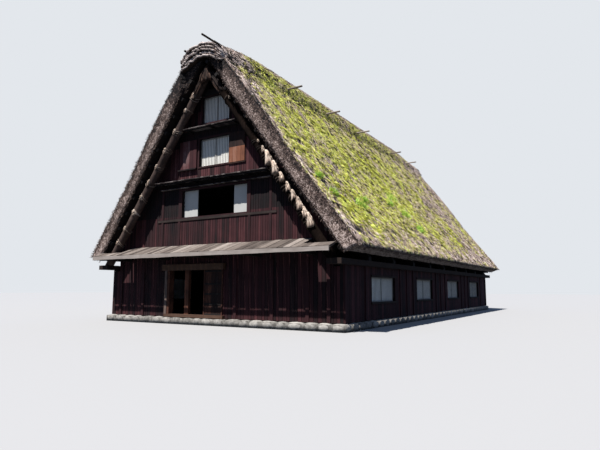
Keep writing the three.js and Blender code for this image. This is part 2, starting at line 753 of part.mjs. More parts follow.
function pentRoof() {
  const inner = WALL_HALF_LENGTH + GAP;
  const edgeInner = PENT.edge - PENT.edgeBoard;
  const slopeOutline = [
    [inner, PENT.wallTop],
    [inner, PENT.wallTop - PENT.thickness],
    [edgeInner, PENT.edgeTop - PENT.thickness + PENT.edgeOverlap],
    [edgeInner, PENT.edgeBottom],
    [PENT.edge, PENT.edgeBottom],
    [PENT.edge, PENT.edgeTop],
  ];
  const slab = alongSlab(slopeOutline, [-PENT.halfWidth, PENT.halfWidth]);
  const notches = [-1, 1].map((side) => {
    const xs = [side * PENT.notchX, side * (PENT.halfWidth + CUT_MARGIN)].sort((a, b) => a - b);
    return block(xs, [inner - CUT_MARGIN, PENT.notchY], PENT_NOTCH_Z);
  });
  const armReach = [inner, edgeInner + PENT.armTipInset];
  const armOutline = [
    [armReach[0], PENT.armBottom],
    [armReach[1], PENT.armBottom],
    [armReach[1], PENT.edgeTop - PENT.armSink.edge],
    [armReach[0], PENT.wallTop - PENT.armSink.wall],
  ];
  const arms = PENT.armX.map((x) => alongSlab(armOutline, [x - PENT.armHalfWidth, x + PENT.armHalfWidth]));
  return cut(join([slab, ...arms]), notches);
}

function addPentRoofs() {
  add("back_pent_roof", pentRoof(), "greyBoard");
  add("front_pent_roof", pentRoof(), "greyBoard").rotation.z = Math.PI;
}

addBase();
addFrontGroundWall();
addEntrance();
addBackGroundWall();
addSideWall("left", -1);
addSideWall("right", 1);
addGable("front", -1);
addGable("back", 1);
addFrontScreens();
addBackScreens();
addFrontShutters();
addAtticFloors();
addEndRafters();
addRoofLattices();
addApexLashings();
addThatch();
addRidge();
addPentRoofs();

export default house;
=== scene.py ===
"""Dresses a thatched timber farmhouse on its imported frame, in metres, +Z up, front gable towards -Y."""
import sys

import logging
import math
from dataclasses import dataclass
from enum import Enum
from typing import Any, Callable, Sequence

import bpy
import numpy as np
from mathutils import Matrix


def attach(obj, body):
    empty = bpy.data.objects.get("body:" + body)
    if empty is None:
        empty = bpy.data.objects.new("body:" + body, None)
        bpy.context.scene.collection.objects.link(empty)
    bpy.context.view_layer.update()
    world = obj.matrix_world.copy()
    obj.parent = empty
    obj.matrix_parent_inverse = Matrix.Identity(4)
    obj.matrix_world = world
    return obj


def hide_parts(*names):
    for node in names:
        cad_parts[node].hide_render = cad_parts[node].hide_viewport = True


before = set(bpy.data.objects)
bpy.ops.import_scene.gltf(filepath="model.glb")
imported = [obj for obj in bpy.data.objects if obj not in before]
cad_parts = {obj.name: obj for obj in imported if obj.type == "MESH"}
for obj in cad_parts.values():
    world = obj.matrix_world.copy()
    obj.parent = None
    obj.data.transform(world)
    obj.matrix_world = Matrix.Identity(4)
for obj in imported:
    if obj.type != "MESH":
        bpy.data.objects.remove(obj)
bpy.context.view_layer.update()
LOG = logging.getLogger("farmhouse")

HOUSE = "house"
LEAF = "door_leaf"
HAIR = 0.0003  # the clearance that the frame's pieces keep from each other
SEAM = 0.0002  # how far the roof's two halves stay from the middle plane

Tree = bpy.types.NodeTree
Socket = bpy.types.NodeSocket
Array = np.ndarray
Random = np.random.Generator
Range = tuple[float, float]
Stops = tuple[tuple[float, str], ...]
TO_BACK = np.array([0.0, 1.0, 0.0])


class Facing(Enum):
    """A side of the house, as the sign of its outward direction."""

    @property
    def label(self) -> str:
        """The side's name in the frame's nodes."""
        return self.name.lower()


class End(Facing):
    """The two gable ends, along Y."""

    FRONT = -1
    BACK = 1


class Side(Facing):
    """The two long sides, along X."""

    LEFT = -1
    RIGHT = 1


class Grain(Enum):
    """The direction that a board's grain runs, as the axis that a pattern is stretched along."""

    ACROSS = 0
    ALONG = 1
    UP = 2


# Numbers and patterns


def linear(colour: str) -> tuple[float, float, float, float]:
    """Turns an sRGB hex colour to linear red, green and blue, and an alpha of one.

    Args:
        colour: The hex value, such as #a08c7c.

    Returns:
        The four linear values.
    """
    parts = [int(colour[i : i + 2], 16) / 255 for i in (1, 3, 5)]
    lit = [c / 12.92 if c <= 0.04045 else ((c + 0.055) / 1.055) ** 2.4 for c in parts]
    return (lit[0], lit[1], lit[2], 1.0)


def lattice_noise(points: Array, seed: int = 0) -> Array:
    """Value noise: a fixed random number at each corner of a unit lattice, blended by 3t^2 - 2t^3.

    Args:
        points: Positions in lattice units, n by 3.
        seed: Chooses another set of corner numbers.

    Returns:
        n numbers from -1 to 1.
    """
    cell = np.floor(points).astype(np.int64)
    part = points - cell
    blend = part * part * (3 - 2 * part)
    total = np.zeros(len(points))
    for corner in np.ndindex(2, 2, 2):
        step = cell + np.array(corner)
        mixed = step[:, 0] * 73856093 ^ step[:, 1] * 19349663 ^ step[:, 2] * 83492791 ^ (seed + 1) * 2654435761
        mixed = (mixed ^ (mixed >> 13)) * 1274126177 & 0xFFFFFFFF
        mixed = (mixed ^ (mixed >> 16)) * 668265263 & 0xFFFFFFFF
        weight = np.prod(np.where(np.array(corner) == 1, blend, 1 - blend), axis=1)
        total += weight * mixed / 0xFFFFFFFF
    return total * 2 - 1


def rough(points: Array, size: float, seed: int = 0) -> Array:
    """Noise from about -1 to 1 with lumps of a size in metres, and lumps of half that size and height.

    Args:
        points: Where it is wanted, n by 3.
        size: Size of the larger lumps.
        seed: Picks the pattern.

    Returns:
        One value for each point.
    """
    coarse = lattice_noise(points / size, seed)
    fine = lattice_noise(points * 2 / size, seed + 1) / 2
    return (coarse + fine) / 1.5


def ramp(values: Any, low: float, high: float) -> Any:
    """Zero below low, one above high, and 3t^2 - 2t^3 in between."""
    t = np.clip((values - low) / (high - low), 0, 1)
    return t * t * (3 - 2 * t)


def stations(length: float, step: float, edge: float, edge_step: float) -> Array:
    """Distances from 0 to length that stand closer together within edge of both ends.

    Args:
        length: The last distance.
        step: Spacing in the middle.
        edge: Reach of the closer part.
        edge_step: Spacing near the ends.

    Returns:
        The distances in order.
    """
    near = np.linspace(0, edge, max(2, round(edge / edge_step) + 1))
    middle = np.linspace(edge, length - edge, max(2, round((length - 2 * edge) / step) + 1))
    return np.unique(np.concatenate([near, middle, length - near]).round(6))


def unit(vectors: Array) -> Array:
    """Vectors at length one along the last axis."""
    return vectors / np.maximum(np.linalg.norm(vectors, axis=-1, keepdims=True), 1e-9)


def spots(x: Any, y: Any, z: Any) -> Array:
    """Points from their X, Y and Z, each given for every point or once for all."""
    return np.stack(np.broadcast_arrays(x, y, z), axis=-1).astype(float)


def each(value: Any, *shape: int) -> Array:
    """A number for each place of a shape, from one for each or one for all."""
    return np.broadcast_to(np.asarray(value, float), shape)


def ring_of(aside: Array, over: Array, sides: int) -> Array:
    """Directions round an axis, worked out from two that are square to it: cos t * aside + sin t * over."""
    turn = 2 * np.pi * np.arange(sides) / sides
    return np.cos(turn)[:, None] * aside[..., None, :] + np.sin(turn)[:, None] * over[..., None, :]


# Meshes

PRISM_FACES = ((0, 1, 2, 3), (7, 6, 5, 4), (0, 4, 5, 1), (1, 5, 6, 2), (2, 6, 7, 3), (3, 7, 4, 0))
SPIKE_FACES = ((0, 1, 2), (1, 0, 3), (2, 1, 3), (0, 2, 3))


def box_lattice(ni: int, nj: int, nk: int) -> tuple[Array, Array, Array]:
    """The six sides of a box as one closed grid, joined along the edges.

    Args:
        ni: Grid points along the first axis.
        nj: Grid points along the second axis.
        nk: Grid points along the third axis.

    Returns:
        Whole-number grid places n by 3, quads m by 4 that face outwards where the three axes are
        right-handed, and for each quad twice its axis, plus one on the far side.
    """
    sizes = (ni, nj, nk)
    quads, sides = [], []
    for axis, (a, b) in enumerate(((1, 2), (2, 0), (0, 1))):
        cells = np.arange(sizes[a] - 1), np.arange(sizes[b] - 1)
        u, v = (g.ravel() for g in np.meshgrid(*cells, indexing="ij"))
        for far in (0, 1):
            corners = ((0, 0), (1, 0), (1, 1), (0, 1)) if far else ((0, 1), (1, 1), (1, 0), (0, 0))
            quad = np.empty((len(u), 4, 3), int)
            for n, (du, dv) in enumerate(corners):
                quad[:, n, a] = u + du
                quad[:, n, b] = v + dv
                quad[:, n, axis] = far * (sizes[axis] - 1)
            quads.append(quad)
            sides.append(np.full(len(u), 2 * axis + far))
    every = np.concatenate(quads)
    ids = (every[..., 0] * nj + every[..., 1]) * nk + every[..., 2]
    kept, faces = np.unique(ids, return_inverse=True)
    places = np.stack([kept // (nj * nk), kept // nk % nj, kept % nk], axis=1)
    return places, faces.reshape(-1, 4), np.concatenate(sides)


class Surface:
    """Gathers arrays of points and faces, and makes them one mesh piece."""

    def __init__(self) -> None:
        """Starts with nothing gathered."""
        self.points: list[Array] = []
        self.faces: list[tuple[Array, Array]] = []
        self.tints: list[Array] = []
        self.count = 0

    def add(self, points: Array, faces: Array, tint: Any = 0.5, slots: Any = 0) -> None:
        """Adds points, with faces that count from their first point.

        Args:
            points: Positions, n by 3.
            faces: Point numbers, m by the corners of a face.
            tint: Shade of each point from 0 to 1, or one for all.
            slots: Finish number of each face, or one for all.
        """
        self.points.append(points)
        self.faces.append((faces + self.count, np.broadcast_to(np.asarray(slots, int), (len(faces),))))
        self.tints.append(each(tint, len(points)))
        self.count += len(points)

    def copies(self, shape: Any, points: Array, tint: Any, slots: int = 0) -> None:
        """Adds copies of one small shape: its faces, and the points of each, n by p by 3.

        Args:
            shape: Faces of one copy, as point numbers.
            points: Points of every copy.
            tint: Shade of each copy.
            slots: Finish number.
        """
        n, p, _ = points.shape
        faces = np.asarray(shape)[None] + p * np.arange(n)[:, None, None]
        self.add(points.reshape(-1, 3), faces.reshape(-1, faces.shape[-1]), np.repeat(each(tint, n), p), slots)

    def prisms(self, front: Array, depth: Any, tint: Any = 0.5, slots: int = 0) -> None:
        """Adds closed four-sided prisms: each front outline, and the same moved by its depth.

        Args:
            front: Four corners of each, n by 4 by 3, in order round the outline.
            depth: The way to the back outline, one for each or one for all.
            tint: Shade of each prism, or one for all.
            slots: Finish number.
        """
        depth = each(depth, len(front), 3)
        across = np.cross(front[:, 2] - front[:, 0], front[:, 3] - front[:, 1])
        wrong = np.einsum("ij,ij->i", across, depth) > 0
        front = np.where(wrong[:, None, None], front[:, ::-1], front)
        self.copies(PRISM_FACES, np.concatenate([front, front + depth[:, None]], axis=1), tint, slots)

    def boxes(self, x: Any, y: Any, z: Any, tint: Any = 0.5, slots: int = 0) -> None:
        """Adds boxes from their ranges in X, Y and Z, each end of which is one number or many.

        Args:
            x: The two ends in X.
            y: The two ends in Y.
            z: The two ends in Z.
            tint: Shade of each box.
            slots: Finish number.
        """
        x0, x1, y0, y1, z0, z1 = np.broadcast_arrays(*(np.atleast_1d(e).astype(float) for e in (*x, *y, *z)))
        y0, y1 = np.minimum(y0, y1), np.maximum(y0, y1)
        x0, x1 = np.minimum(x0, x1), np.maximum(x0, x1)
        front = np.stack([spots(u, y0, w) for u, w in ((x0, z0), (x1, z0), (x1, z1), (x0, z1))], axis=1)
        self.prisms(front, spots(0, y1 - y0, 0), tint, slots)

    def tubes(self, paths: Array, radii: Any, sides: int = 8, up: Any = (0, 0, 1), tint: Any = 0.5) -> None:
        """Adds closed round bars: a ring of points about each point of a path, square to the path.

        Args:
            paths: Middle lines, n bars by k points by 3.
            radii: Radius at each point, or one for all.
            sides: Points in a ring.
            up: A direction that no path runs along.
            tint: Shade of each bar, or one for all.
        """
        along = unit(np.gradient(paths, axis=1))
        aside = unit(np.cross(along, each(up, *paths.shape)))
        ring = ring_of(aside, np.cross(aside, along), sides)
        self.rings(paths[:, :, None] + ring * each(radii, *paths.shape[:2])[:, :, None, None], tint)

    def rings(self, points: Array, tint: Any = 0.5, slots: int = 0) -> None:
        """Adds closed skins over rings of points.

        Args:
            points: n bars by k rings by s points by 3.
            tint: Shade of each ring, n by k, or of each bar, or one for all.
            slots: Finish number.
        """
        n, k, s, _ = points.shape
        base = (np.arange(n)[:, None, None] * k + np.arange(k - 1)[None, :, None]) * s
        a = np.arange(s)[None, None, :]
        b = (a + 1) % s
        quads = np.stack([base + a, base + a + s, base + b + s, base + b], axis=-1).reshape(-1, 4)
        first = np.arange(n)[:, None] * k * s + np.arange(s)
        ends = np.concatenate([first, first[:, ::-1] + (k - 1) * s]) + self.count
        tint = np.asarray(tint, float)
        shade = each(tint if tint.ndim == 2 else tint.reshape(-1, 1), n, k)
        self.add(points.reshape(-1, 3), quads, np.repeat(shade.ravel(), s), slots)
        self.faces.append((ends, np.full(len(ends), slots)))

    def straws(
        self, roots: Array, way: Array, length: Array, radius: Array, tint: Any, slots: int = 0,
        reach: float = math.inf,
    ) -> None:
        """Adds three-sided closed straws, each from a small triangle round its root to a tip.

        Args:
            roots: Where they start, n by 3.
            way: Which way each goes, n by 3.
            length: Length of each.
            radius: Radius of each at its root.
            tint: Shade of each.
            slots: Finish number.
            reach: The X that no tip goes beyond.
        """
        tips = roots + unit(way) * length[:, None]
        tips[:, 0] = np.minimum(tips[:, 0], reach)
        along = unit(tips - roots)
        aside = unit(np.cross(along, np.array([0.31, 0.17, 0.93])))
        base = roots[:, None] + ring_of(aside, np.cross(aside, along), 3) * radius[:, None, None]
        self.copies(SPIKE_FACES, np.concatenate([base, tips[:, None]], axis=1), tint, slots)

    def piece(
        self, name: str, finishes: Sequence["Finish"], slot: str, replaces: Sequence[str] = (),
        body: str = HOUSE, smooth: bool = False,
    ) -> None:
        """Makes the mesh object, dresses it and ties it to its body.

        Args:
            name: The piece's name.
            finishes: Materials, in the order of the slot numbers used in the faces.
            slot: Not used.
            replaces: CAD nodes that the piece stands for.
            body: The CAD body that it moves with.
            smooth: Whether its faces are shaded smooth.
        """
        corners = np.concatenate([f.ravel() for f, _ in self.faces])
        totals = np.concatenate([np.full(len(f), f.shape[1]) for f, _ in self.faces])
        slots = np.concatenate([s for _, s in self.faces])
        starts = np.concatenate([[0], np.cumsum(totals)[:-1]])
        mesh = bpy.data.meshes.new(name)
        mesh.vertices.add(self.count)
        mesh.vertices.foreach_set("co", np.concatenate(self.points).astype(np.float32).ravel())
        mesh.loops.add(len(corners))
        mesh.loops.foreach_set("vertex_index", corners.astype(np.int32))
        mesh.polygons.add(len(totals))
        mesh.polygons.foreach_set("loop_start", starts.astype(np.int32))
        mesh.polygons.foreach_set("material_index", slots.astype(np.int32))
        mesh.polygons.foreach_set("use_smooth", np.full(len(totals), smooth))
        shade = mesh.attributes.new("tint", "FLOAT", "POINT")
        shade.data.foreach_set("value", np.concatenate(self.tints).astype(np.float32))
        mesh.update()
        mesh.validate()
        for finish in finishes:
            mesh.materials.append(finish.material())
        made = bpy.data.objects.new(name, mesh)
        bpy.context.scene.collection.objects.link(made)
        if replaces:
            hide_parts(*replaces)
        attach(made, body)
        LOG.info("%s: %d faces", name, len(totals))


# The roof's planes, which most of the pieces keep to


@dataclass(frozen=True)
class RoofShape:
    """The outer and inner planes of the thatch on both sides, and where its gable ends stand."""

    outer_apex: float = 12.4
    outer_foot: Range = (7.2, 3.02)
    inner_apex: float = 11.55
    inner_foot: Range = (6.55, 2.773)
    flat_top: float = 11.95
    verge: float = 12.8
    verge_height: float = 1.4  # where the verge stands at its stated place
    lean: float = 0.042
    bulge: float = 0.14  # how far the middle of the slope stands over the outer plane
    bulge_down: tuple[float, float, float] = (1.515, 5.0, 7.5)  # its start, its full stretch's end, its end
    recess_x: float = 1.15  # half the width that is cut back for the hood of the ridge
    recess_y: float = 13.0
    widest: float = 7.199

    @property
    def outer_angle(self) -> float:
        """Angle of the outer plane above the level."""
        return math.atan2(self.outer_apex - self.outer_foot[1], self.outer_foot[0])

    @property
    def inner_angle(self) -> float:
        """Angle of the underside above the level."""
        return math.atan2(self.inner_apex - self.inner_foot[1], self.inner_foot[0])

    def over(self, down: Any, height: Any) -> tuple[Any, Any]:
        """X and Z at a distance down the outer plane and a height square over it."""
        c, s = math.cos(self.outer_angle), math.sin(self.outer_angle)
        return down * c + height * s, self.outer_apex - down * s + height * c

    def down_at(self, z: Any) -> Any:
        """Distance down the outer plane at a height."""
        return (self.outer_apex - z) / math.sin(self.outer_angle)

    def bulge_at(self, down: Any) -> Any:
        """Height of the thatch's face over the outer plane at a distance down it."""
        start, full, stop = self.bulge_down
        return self.bulge * np.where(down < start, 0.0, np.clip((stop - down) / (stop - full), 0, 1))

    def verge_at(self, z: Any, x: Any = 10.0) -> Any:
        """How far from the middle the gable ends of the thatch stand at a height, and under the hood."""
        plane = self.verge + self.lean * (z - self.verge_height)
        return np.where(np.abs(x) < self.recess_x, np.minimum(plane, self.recess_y), plane)

    def ceiling(self, x: Any, depth: float) -> Any:
        """Height at X of the plane a depth square under the underside."""
        return self.inner_apex - (np.abs(x) + depth / math.sin(self.inner_angle)) * math.tan(self.inner_angle)

    def half_width(self, z: float, depth: float) -> float:
        """Distance from the middle to the plane a depth square under the underside, at a height."""
        return (self.inner_apex - z) / math.tan(self.inner_angle) - depth / math.sin(self.inner_angle)


ROOF = RoofShape()


# Finishes

MATH = "ShaderNodeMath"
MIX = "ShaderNodeMix"
NOISE = "ShaderNodeTexNoise"
RAMP = "ShaderNodeValToRGB"
MAPPING = "ShaderNodeMapping"


def add_node(tree: Tree, kind: str, inputs: dict, out: int | str = 0, **settings: Any) -> Socket | None:
    """Adds a node with its settings, and links or fills its inputs.

    Args:
        tree: The node tree.
        kind: The node's type name.
        inputs: A socket to link or a plain value for each named or numbered input.
        out: Which output is wanted.
        settings: The node's own properties; stops fills a colour ramp with (place, hex colour) pairs.

    Returns:
        The wanted output, or nothing for a node that has none.
    """
    made = tree.nodes.new(kind)
    for name, value in settings.items():
        if name == "stops":
            elements = made.color_ramp.elements
            while len(elements) < len(value):
                elements.new(0.5)
            for element, (place, colour) in zip(elements, value):
                element.position, element.color = place, linear(colour)
        else:
            setattr(made, name, value)
    for key, value in inputs.items():
        if isinstance(value, Socket):
            tree.links.new(value, made.inputs[key])
        else:
            made.inputs[key].default_value = value
    return made.outputs[out] if made.outputs else None


@dataclass(frozen=True)
class Finish:
    """One finish; a subclass's pattern gives its colour and relief from the place on the piece."""

    name: str
    relief: float = 0.01  # metres from the lowest to the highest of the bump
    roughness: float = 0.9  # dry straw, sawn wood, paper and stone are all matt
    specular: float = 0.3
    stops: Stops = ()

    def read(self, tree: Tree, tone: Socket, mover: Socket, reach: float, back: float) -> Socket:
        """Looks up the finish's stops at tone + mover * reach - back.

        Args:
            tree: The material's node tree.
            tone: Where along the stops the surface starts from.
            mover: What moves it along them.
            reach: How far a mover of one moves it.
            back: How far it is moved back again.

        Returns:
            The colour.
        """
        moved = add_node(tree, MATH, {0: mover, 1: reach, 2: tone}, operation="MULTIPLY_ADD")
        moved = add_node(tree, MATH, {0: moved, 1: -back}, operation="ADD")
        return add_node(tree, RAMP, {"Fac": moved}, stops=self.stops)

    def pattern(self, tree: Tree, place: Socket, tint: Socket) -> tuple[Socket, Socket]:
        """Colour and height sockets of the finish."""
        raise NotImplementedError

    def material(self) -> bpy.types.Material:
        """The finish's material, made once, with its pattern on Object coordinates.

        Returns:
            The material, which later calls return again.
        """
        if self.name in bpy.data.materials:
            return bpy.data.materials[self.name]
        made = bpy.data.materials.new(self.name)
        made.use_nodes = True
        tree = made.node_tree
        tree.nodes.clear()
        place = add_node(tree, "ShaderNodeTexCoord", {}, "Object")
        tint = add_node(tree, "ShaderNodeAttribute", {}, "Fac", attribute_name="tint")
        colour, height = self.pattern(tree, place, tint)
        bump = add_node(tree, "ShaderNodeBump", {"Height": height, "Distance": self.relief, "Strength": 1.0})
        look = {"Base Color": colour, "Roughness": self.roughness, "Specular IOR Level": self.specular}
        surface = add_node(tree, "ShaderNodeBsdfPrincipled", look | {"Normal": bump})
        add_node(tree, "ShaderNodeOutputMaterial", {"Surface": surface})
        return made


@dataclass(frozen=True)
class MossyThatch(Finish):
    """Old reed thatch under moss: bright clumps on pinkish straw, with holes and hollows between them painted
    near black as shade.

    The tint is the share of moss, and below zero the strength of the painted shade in a hollow. Clumps are 150
    mm wide and
    300 mm long, holes 90 and 180 mm, and straws are drawn as wisps of 50 and 110 mm, because single
    reeds of 8 mm don't show. All are longer down the slope, as the reeds lie.
    """

    slope: float = 0.0  # angle that turns the pattern's first axis down the slope
    clump: float = 0.15
    hole: float = 0.09
    wisp: float = 0.05
    hole_band: Range = (0.43, 0.395)  # noise at which a hole starts, and is painted black as shade
    moss_edge: float = 3.4  # how sharply the clumps' noise parts moss from straw
    hollow_shade: float = -2.6  # painted shade for each unit of tint below zero
    pink_stops: Stops = ((0.34, "#2b1e18"), (0.44, "#857063"), (0.55, "#b39c8d"), (0.66, "#e0cfc3"))
    tan_stops: Stops = ((0.34, "#33291a"), (0.44, "#8b7b5a"), (0.55, "#b8a684"), (0.66, "#e2d5b8"))
    moss_stops: Stops = ((0.34, "#262805"), (0.43, "#777b1c"), (0.52, "#a3a53c"), (0.62, "#d3d178"))
    # colour of the painted shade in the holes and hollows
    gap: str = "#0b0a05"

    def pattern(self, tree: Tree, place: Socket, tint: Socket) -> tuple[Socket, Socket]:
        """Straw mixed with moss by the tint and a fine noise, and painted black as shade in the holes and
        hollows.
        """
        turned = add_node(tree, MAPPING, {"Vector": place, "Rotation": (0, self.slope, 0)})
        drawn = add_node(tree, MAPPING, {"Vector": turned, "Scale": (0.5, 1.0, 0.3)})
        reeds = add_node(tree, MAPPING, {"Vector": turned, "Scale": (0.45, 1.0, 0.3)})
        clumped = {"Scale": 1 / self.clump, "Detail": 4.0, "Roughness": 0.72}
        clumps = add_node(tree, NOISE, {"Vector": drawn} | clumped)
        fine = {"Scale": 1 / self.wisp, "Detail": 3.0, "Roughness": 0.65}
        straws = add_node(tree, NOISE, {"Vector": reeds} | fine)
        gapped = {"Scale": 1 / self.hole, "Detail": 1.0, "Distortion": 0.4}
        gaps = add_node(tree, NOISE, {"Vector": drawn} | gapped)
        pink = add_node(tree, RAMP, {"Fac": straws}, stops=self.pink_stops)
        tan = add_node(tree, RAMP, {"Fac": straws}, stops=self.tan_stops)
        greener = add_node(tree, MATH, {0: tint, 1: 2.5}, operation="MULTIPLY", use_clamp=True)
        dry = add_node(tree, MIX, {0: greener, 6: pink, 7: tan}, 2, data_type="RGBA")
        both = add_node(tree, MATH, {0: straws, 1: clumps}, operation="ADD")
        both = add_node(tree, MATH, {0: both, 1: 0.5}, operation="MULTIPLY")
        green = add_node(tree, RAMP, {"Fac": both}, stops=self.moss_stops)
        share = add_node(tree, MATH, {0: clumps, 1: self.moss_edge, 2: tint}, operation="MULTIPLY_ADD")
        share = add_node(tree, MATH, {0: share, 1: -self.moss_edge / 2}, operation="ADD", use_clamp=True)
        body = add_node(tree, MIX, {0: share, 6: dry, 7: green}, 2, data_type="RGBA")
        band = {"Value": gaps, "From Min": self.hole_band[0], "From Max": self.hole_band[1]}
        holes = add_node(tree, "ShaderNodeMapRange", band)
        hollow = add_node(tree, MATH, {0: tint, 1: self.hollow_shade, 2: holes}, operation="MULTIPLY_ADD")
        hollow = add_node(tree, MATH, {0: hollow, 1: holes}, operation="MAXIMUM", use_clamp=True)
        colour = add_node(tree, MIX, {0: hollow, 6: body, 7: linear(self.gap)}, 2, data_type="RGBA")
        sunk = add_node(tree, MATH, {0: holes, 1: -0.5, 2: clumps}, operation="MULTIPLY_ADD")
        height = add_node(tree, MATH, {0: straws, 1: 0.6, 2: sunk}, operation="MULTIPLY_ADD")
        return colour, height


@dataclass(frozen=True)
class CutReed(Finish):
    """The cut ends of a reed thatch: a fine even stipple of pale stems in dark brown.

    The tint is lightness. Real stems are 8 mm wide; the stipple is 42 mm, because bundles of them
    catch the light together and single ones are too fine to show.
    """

    stipple: float = 0.042
    stops: Stops = ((0.41, "#0b0707"), (0.47, "#3b2c26"), (0.54, "#69584f"), (0.65, "#bba99f"))

    def pattern(self, tree: Tree, place: Socket, tint: Socket) -> tuple[Socket, Socket]:
        """Two sizes of noise, moved along the ramp by the tint."""
        here = {"Vector": place, "Roughness": 0.7}
        dots = add_node(tree, NOISE, here | {"Scale": 1 / self.stipple, "Detail": 2.0})
        lumps = add_node(tree, NOISE, here | {"Scale": 0.3 / self.stipple, "Detail": 3.0})
        tone = add_node(tree, MATH, {0: dots, 1: 2.0, 2: lumps}, operation="MULTIPLY_ADD")
        tone = add_node(tree, MATH, {0: tone, 1: 1 / 3}, operation="MULTIPLY")
        return self.read(tree, tone, tint, 0.24, 0.10), tone


@dataclass(frozen=True)
class LooseStraw(Finish):
    """Separate straws and moss tips: the tint runs over pink straw, tan straw and moss to fresh green.

    Each is 12 to 56 mm wide at its root, a wisp of several real ones, and differs a little from the next.
    """

    # The first stops, near black, take the straws of the painted shadow specks between the tufts.
    stops: Stops = (
        (0.0, "#140f0c"), (0.12, "#6a5950"), (0.21, "#ab988d"), (0.31, "#d9c9be"), (0.34, "#55482e"),
        (0.43, "#9c8c68"), (0.51, "#d2c49e"), (0.54, "#5b6014"), (0.70, "#a3a538"), (0.83, "#dcd972"),
        (0.89, "#7fb334"), (1.0, "#bfe470"),
    )
    stir: float = 0.04  # how far a straw's grain moves along the ramp

    def pattern(self, tree: Tree, place: Socket, tint: Socket) -> tuple[Socket, Socket]:
        """The tint's colour, a little lighter and darker within 33 mm."""
        grains = add_node(tree, NOISE, {"Vector": place, "Scale": 30.0, "Detail": 2.0})
        return self.read(tree, tint, grains, self.stir, self.stir / 2), grains


@dataclass(frozen=True)
class LayeredStraw(Finish):
    """Grey weathered straw and bark of the ridge, in layers about 40 mm high. The tint is lightness."""

    stops: Stops = ((0.38, "#0b0807"), (0.47, "#4a403b"), (0.56, "#887b74"), (0.70, "#c9bcb4"))

    def pattern(self, tree: Tree, place: Socket, tint: Socket) -> tuple[Socket, Socket]:
        """Noise drawn out level, moved along the ramp by the tint."""
        flat = add_node(tree, MAPPING, {"Vector": place, "Scale": (0.35, 0.6, 2.4)})
        drawn = {"Vector": flat, "Scale": 11.0, "Detail": 5.0, "Roughness": 0.72, "Distortion": 0.5}
        layers = add_node(tree, NOISE, drawn)
        return self.read(tree, layers, tint, 0.3, 0.15), layers


@dataclass(frozen=True)
class WeatheredBoard(Finish):
    """Sawn or peeled wood and bound straw, weathered matt, with fibres drawn out along the grain.

    The tint runs over the ramp from board to board. Fibres are 36 mm wide and 600 mm long, coarser
    than real ones, and stains about 600 mm.
    """

    grain: Grain = Grain.UP
    spread: float = 0.55  # how far the grain moves along the ramp
    stretch: float = 0.06

    def pattern(self, tree: Tree, place: Socket, tint: Socket) -> tuple[Socket, Socket]:
        """Fine noise stretched along the grain, added to the tint and read off the ramp."""
        scale = [self.stretch if axis == self.grain.value else 1.0 for axis in range(3)]
        drawn = add_node(tree, MAPPING, {"Vector": place, "Scale": scale})
        fibres = add_node(tree, NOISE, {"Vector": drawn, "Scale": 28.0, "Detail": 4.0, "Roughness": 0.7})
        stains = add_node(tree, NOISE, {"Vector": place, "Scale": 1.7, "Detail": 4.0, "Roughness": 0.6})
        both = add_node(tree, MATH, {0: fibres, 1: stains}, operation="ADD")
        return self.read(tree, tint, both, self.spread, self.spread), fibres


@dataclass(frozen=True)
class WashiPaper(Finish):
    """White mulberry paper on a wood grid: matt and flat, with 11 mm fibres and 400 mm yellowing."""

    white: str = "#eceae4"
    aged: str = "#d9d6c9"

    def pattern(self, tree: Tree, place: Socket, tint: Socket) -> tuple[Socket, Socket]:
        """Two whites mixed by a slow noise, with fibres as relief."""
        stains = add_node(tree, NOISE, {"Vector": place, "Scale": 2.5, "Detail": 3.0})
        fibres = add_node(tree, NOISE, {"Vector": place, "Scale": 90.0, "Detail": 2.0})
        whites = {0: stains, 6: linear(self.white), 7: linear(self.aged)}
        return add_node(tree, MIX, whites, 2, data_type="RGBA"), fibres


@dataclass(frozen=True)
class FieldStone(Finish):
    """Rounded grey field stone: matt, speckled with dark pits of 10 to 140 mm, and paler stone by stone."""

    stops: Stops = ((0.25, "#4b4842"), (0.5, "#85817a"), (0.75, "#aaa69d"))

    def pattern(self, tree: Tree, place: Socket, tint: Socket) -> tuple[Socket, Socket]:
        """Speckled noise moved by each stone's tint."""
        speckle = add_node(tree, NOISE, {"Vector": place, "Scale": 7.0, "Detail": 8.0, "Roughness": 0.75})
        return self.read(tree, speckle, tint, 0.3, 0.15), speckle


@dataclass(frozen=True)
class PaleFloor(Finish):
    """Plain pale studio floor, which throws only as much light on the house as a garden does."""

    seen: str = "#9b9a98"
    thrown: str = "#474b4e"

    def pattern(self, tree: Tree, place: Socket, tint: Socket) -> tuple[Socket, Socket]:
        """One pale colour to look at, and a darker one for the light that it throws back."""
        looked_at = add_node(tree, "ShaderNodeLightPath", {}, "Is Camera Ray")
        colours = {0: looked_at, 6: linear(self.thrown), 7: linear(self.seen)}
        return add_node(tree, MIX, colours, 2, data_type="RGBA"), looked_at


def board(
    name: str, relief: float, grain: Grain, *shades: str, at: float = 0.5, **more: float
) -> WeatheredBoard:
    """A wood or bound straw finish from its dark, middle and light shade, the middle one at a tint."""
    return WeatheredBoard(name, relief, stops=tuple(zip((0.0, at, 1.0), shades)), grain=grain, **more)


THATCH = {
    side: MossyThatch(f"mossy_thatch_{side.label}", 0.05, slope=-side.value * ROOF.outer_angle)
    for side in Side
}
REED_ENDS = CutReed("cut_reed_ends", 0.025)
# The underside of the reeds is black with smoke and with painted shade, and shows hardly any stems.
UNDER_SHADE_STOPS: Stops = ((0.3, "#080504"), (0.5, "#1c1411"), (0.6, "#33271f"), (0.8, "#4c3d33"))
UNDERSIDE_SHADE_REED = CutReed("reed_underside_smoke_and_shade", 0.015, stops=UNDER_SHADE_STOPS)
STRAWS = LooseStraw("loose_straw", 0.004)
RIDGE_STRAW = LayeredStraw("ridge_straw", 0.03)
